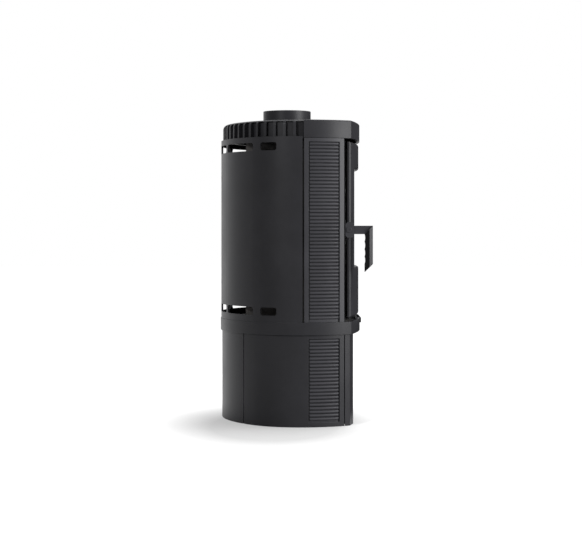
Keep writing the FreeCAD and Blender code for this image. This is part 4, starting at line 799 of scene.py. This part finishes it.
class STOVE_OT_lay_glass_tape(bpy.types.Operator):
    """Lay a woven tape between the door and its glass"""

    bl_idname = "stove.lay_glass_tape"
    bl_label = "Lay glass tape"

    def execute(self, context):
        low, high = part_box("glass_gasket")
        middle = (low + high) / 2
        reach = (high - low) / 2
        tape_width = 10 * MM
        edge_round = 0.7 * MM
        work = bmesh.new()
        bmesh.ops.create_grid(work, x_segments=1, y_segments=1, size=1.0)
        upright = Matrix.Rotation(math.radians(90), 4, "X")
        spread = Matrix.Diagonal((reach.x, reach.z, 1.0, 1.0))
        bmesh.ops.transform(work, matrix=upright @ spread, verts=work.verts)
        bmesh.ops.inset_individual(work, faces=work.faces, thickness=tape_width, use_even_offset=True)
        pane = min(work.faces, key=lambda face: face.calc_center_median().length)
        bmesh.ops.delete(work, geom=[pane], context="FACES")
        bmesh.ops.subdivide_edges(work, edges=work.edges, cuts=3, use_grid_fill=True)
        walls = bmesh.ops.extrude_face_region(work, geom=list(work.faces))["geom"]
        moved = [item for item in walls if isinstance(item, bmesh.types.BMVert)]
        bmesh.ops.translate(work, vec=(0, 2 * reach.y, 0), verts=moved)
        bmesh.ops.translate(work, vec=middle - Vector((0, reach.y, 0)), verts=work.verts)
        bmesh.ops.recalc_face_normals(work, faces=work.faces)
        sharp_from = math.radians(60)
        corners = [edge for edge in work.edges if edge.is_manifold and edge.calc_face_angle() > sharp_from]
        bmesh.ops.bevel(work, geom=corners, offset=edge_round, offset_type="OFFSET", segments=3,
                        profile=0.5, affect="EDGES", clamp_overlap=True, material=-1)
        shade_smooth(work, keep_sharp=False)
        fibre = glass_fibre("tape_fibre", context.scene.stove_finish.rope_colour, 1400.0)
        new_piece("glass_tape", work, fibre, "door", "rope_seal", "glass_gasket")
        return {"FINISHED"}


def seen_directly(tree):
    """Returns 1 for rays that show the background: from the camera, off metal or through glass."""
    path = tree.add("ShaderNodeLightPath").outputs
    shown = tree.math("MAXIMUM", path["Is Camera Ray"], path["Is Glossy Ray"])
    return tree.math("MAXIMUM", shown, path["Is Transmission Ray"])


def paper_floor():
    """White paper: its own white where it is seen, withheld round the stove so that the shadow shows."""
    material, tree, shader = start_material(
        "paper_floor", Specular_IOR_Level=0.0, Roughness=1.0, Emission_Color=WHITE)
    place = object_place(tree)
    fibre = tree.noise(place, 40.0, 3.0)
    tree.feed(shader["Base Color"], tree.mix(fibre, (0.60, 0.60, 0.60, 1.0), (0.62, 0.62, 0.62, 1.0)))
    pool_shift, pool_spread = (0.165, -0.08, 0.0), (0.55, 1.0, 1.0)
    pool = {"Vector": place, "Location": pool_shift, "Scale": pool_spread}
    reach = tree.vector_math("LENGTH", tree.add("ShaderNodeMapping", pool).outputs["Vector"])["Value"]
    pool_inner, pool_outer, pool_white = 0.2, 0.5, 0.27
    own_white = tree.ramp(reach, pool_inner, pool_outer, pool_white, 1.0)
    tree.feed(shader["Emission Strength"], tree.math("MULTIPLY", seen_directly(tree), own_white))
    return material


def add_lamp(name, place, size, power):
    """Adds a soft rectangular lamp turned toward the stove."""
    lamp = bpy.data.lights.new(name, "AREA")
    lamp.shape = "RECTANGLE"
    lamp.size, lamp.size_y = size
    lamp.energy = power
    holder = bpy.data.objects.new(name, lamp)
    holder.location = place
    holder.rotation_euler = (STOVE_HEART - Vector(place)).to_track_quat("-Z", "Y").to_euler()
    bpy.context.scene.collection.objects.link(holder)
    return holder


def spare_floor(lamp, floor):
    """Keeps a lamp's light off the floor, so that it throws no second shadow there."""
    spared = bpy.data.collections.new("spared_by_" + lamp.name)
    spared.objects.link(floor)
    spared.collection_objects[0].light_linking.link_state = "EXCLUDE"
    lamp.light_linking.receiver_collection = spared


def add_stage_piece(name, work, material):
    """Turns a bmesh into an object of the stage."""
    mesh = bpy.data.meshes.new(name)
    work.to_mesh(mesh)
    work.free()
    mesh.materials.append(material)
    piece = bpy.data.objects.new(name, mesh)
    bpy.context.scene.collection.objects.link(piece)
    return piece


def add_dark_card():
    """Adds a black card, upright and along the floor, that is seen in reflections alone."""
    material, tree, shader = start_material("card_felt", Specular_IOR_Level=0.0, Roughness=1.0)
    nap = tree.noise(object_place(tree), 300.0, 2.0)
    tree.feed(shader["Base Color"], tree.mix(nap, tint(WHITE[:3], 0.008), tint(WHITE[:3], 0.014)))
    upright_place, upright_size = Vector((2.2, -1.7, 0.8)), (2.8, 2.8)
    lying_place, lying_size = Vector((1.1, -1.35, 3 * MM)), (3.4, 2.2)
    facing = (STOVE_HEART - upright_place).to_track_quat("Z", "Y").to_matrix().to_4x4()
    work = bmesh.new()
    for place, turn, size in ((upright_place, facing, upright_size), (lying_place, Matrix(), lying_size)):
        face = bmesh.ops.create_grid(work, x_segments=1, y_segments=1, size=0.5)["verts"]
        spread = Matrix.Diagonal((*size, 1.0, 1.0))
        bmesh.ops.transform(work, matrix=Matrix.Translation(place) @ turn @ spread, verts=face)
    card = add_stage_piece("dark_card", work, material)
    for sight in ("camera", "diffuse", "transmission", "shadow", "volume_scatter"):
        setattr(card, "visible_" + sight, False)


class STOVE_OT_set_stage(bpy.types.Operator):
    """Set up the floor, lamps, background and camera"""

    bl_idname = "stove.set_stage"
    bl_label = "Set stage"

    def execute(self, context):
        scene = context.scene
        stage = scene.stove_stage
        work = bmesh.new()
        bmesh.ops.create_grid(work, x_segments=1, y_segments=1, size=stage.floor_size / 2)
        floor = add_stage_piece("floor", work, paper_floor())

        for name, (place, size, spares_floor, glints) in LAMPS.items():
            lamp = add_lamp(name + "_lamp", place, size, getattr(stage, name + "_power"))
            lamp.visible_glossy = glints
            if spares_floor:
                spare_floor(lamp, floor)
        add_dark_card()

        world = bpy.data.worlds.new("studio")
        scene.world = world
        world.use_nodes = True
        tree = Tree(world.node_tree)
        shell = world.node_tree.nodes["Background"].inputs
        shell["Color"].default_value = WHITE
        tree.feed(shell["Strength"], tree.ramp(seen_directly(tree), 0.0, 1.0, stage.room_light, 1.0))

        camera = bpy.data.objects.new("camera", bpy.data.cameras.new("camera"))
        camera.location = stage.camera_place
        camera.rotation_euler = (math.radians(90), 0.0, math.radians(-90))
        camera.data.sensor_width = 36.0
        camera.data.lens = stage.lens
        camera.data.shift_y = stage.drop
        camera.data.clip_end = 200.0
        scene.collection.objects.link(camera)
        scene.camera = camera
        scene.view_settings.view_transform = "Standard"
        return {"FINISHED"}


OPERATORS = (
    STOVE_OT_soften_castings, STOVE_OT_paint_sheets, STOVE_OT_finish_hearth, STOVE_OT_finish_metalwork,
    STOVE_OT_drive_screws, STOVE_OT_glaze_door, STOVE_OT_lay_door_rope, STOVE_OT_lay_glass_tape,
    STOVE_OT_set_stage,
)


class STOVE_PT_dresser(bpy.types.Panel):
    """Lists the stove's sizes, colours and pieces"""

    bl_idname = "STOVE_PT_dresser"
    bl_label = "Wood stove"
    bl_space_type = "VIEW_3D"
    bl_region_type = "UI"
    bl_category = "Stove"

    def draw(self, context):
        scene = context.scene
        for settings in (scene.stove_finish, scene.stove_edges, scene.stove_stage):
            box = self.layout.box()
            for title in settings.bl_rna.properties.keys():
                if title not in ("rna_type", "name"):
                    box.prop(settings, title)
        for operator in OPERATORS:
            self.layout.operator(operator.bl_idname)


CLASSES = (StoveFinish, StoveEdges, StoveStage) + OPERATORS + (STOVE_PT_dresser,)


def register():
    """Registers the classes and their settings on the scene."""
    for item in CLASSES:
        bpy.utils.register_class(item)
    bpy.types.Scene.stove_finish = bpy.props.PointerProperty(type=StoveFinish)
    bpy.types.Scene.stove_edges = bpy.props.PointerProperty(type=StoveEdges)
    bpy.types.Scene.stove_stage = bpy.props.PointerProperty(type=StoveStage)


def unregister():
    """Takes the classes and their settings away again."""
    del bpy.types.Scene.stove_stage
    del bpy.types.Scene.stove_edges
    del bpy.types.Scene.stove_finish
    for item in reversed(CLASSES):
        bpy.utils.unregister_class(item)


def main():
    """Dresses the stove."""
    register()
    make_sand_grain()
    make_edge_wear_and_highlight()
    make_painted_groove_shade()
    make_soot()
    bpy.ops.stove.soften_castings()
    bpy.ops.stove.paint_sheets()
    bpy.ops.stove.finish_hearth()
    bpy.ops.stove.finish_metalwork()
    bpy.ops.stove.drive_screws()
    bpy.ops.stove.glaze_door()
    bpy.ops.stove.lay_door_rope()
    bpy.ops.stove.lay_glass_tape()
    bpy.ops.stove.set_stage()


if __name__ == "__main__":
    main()
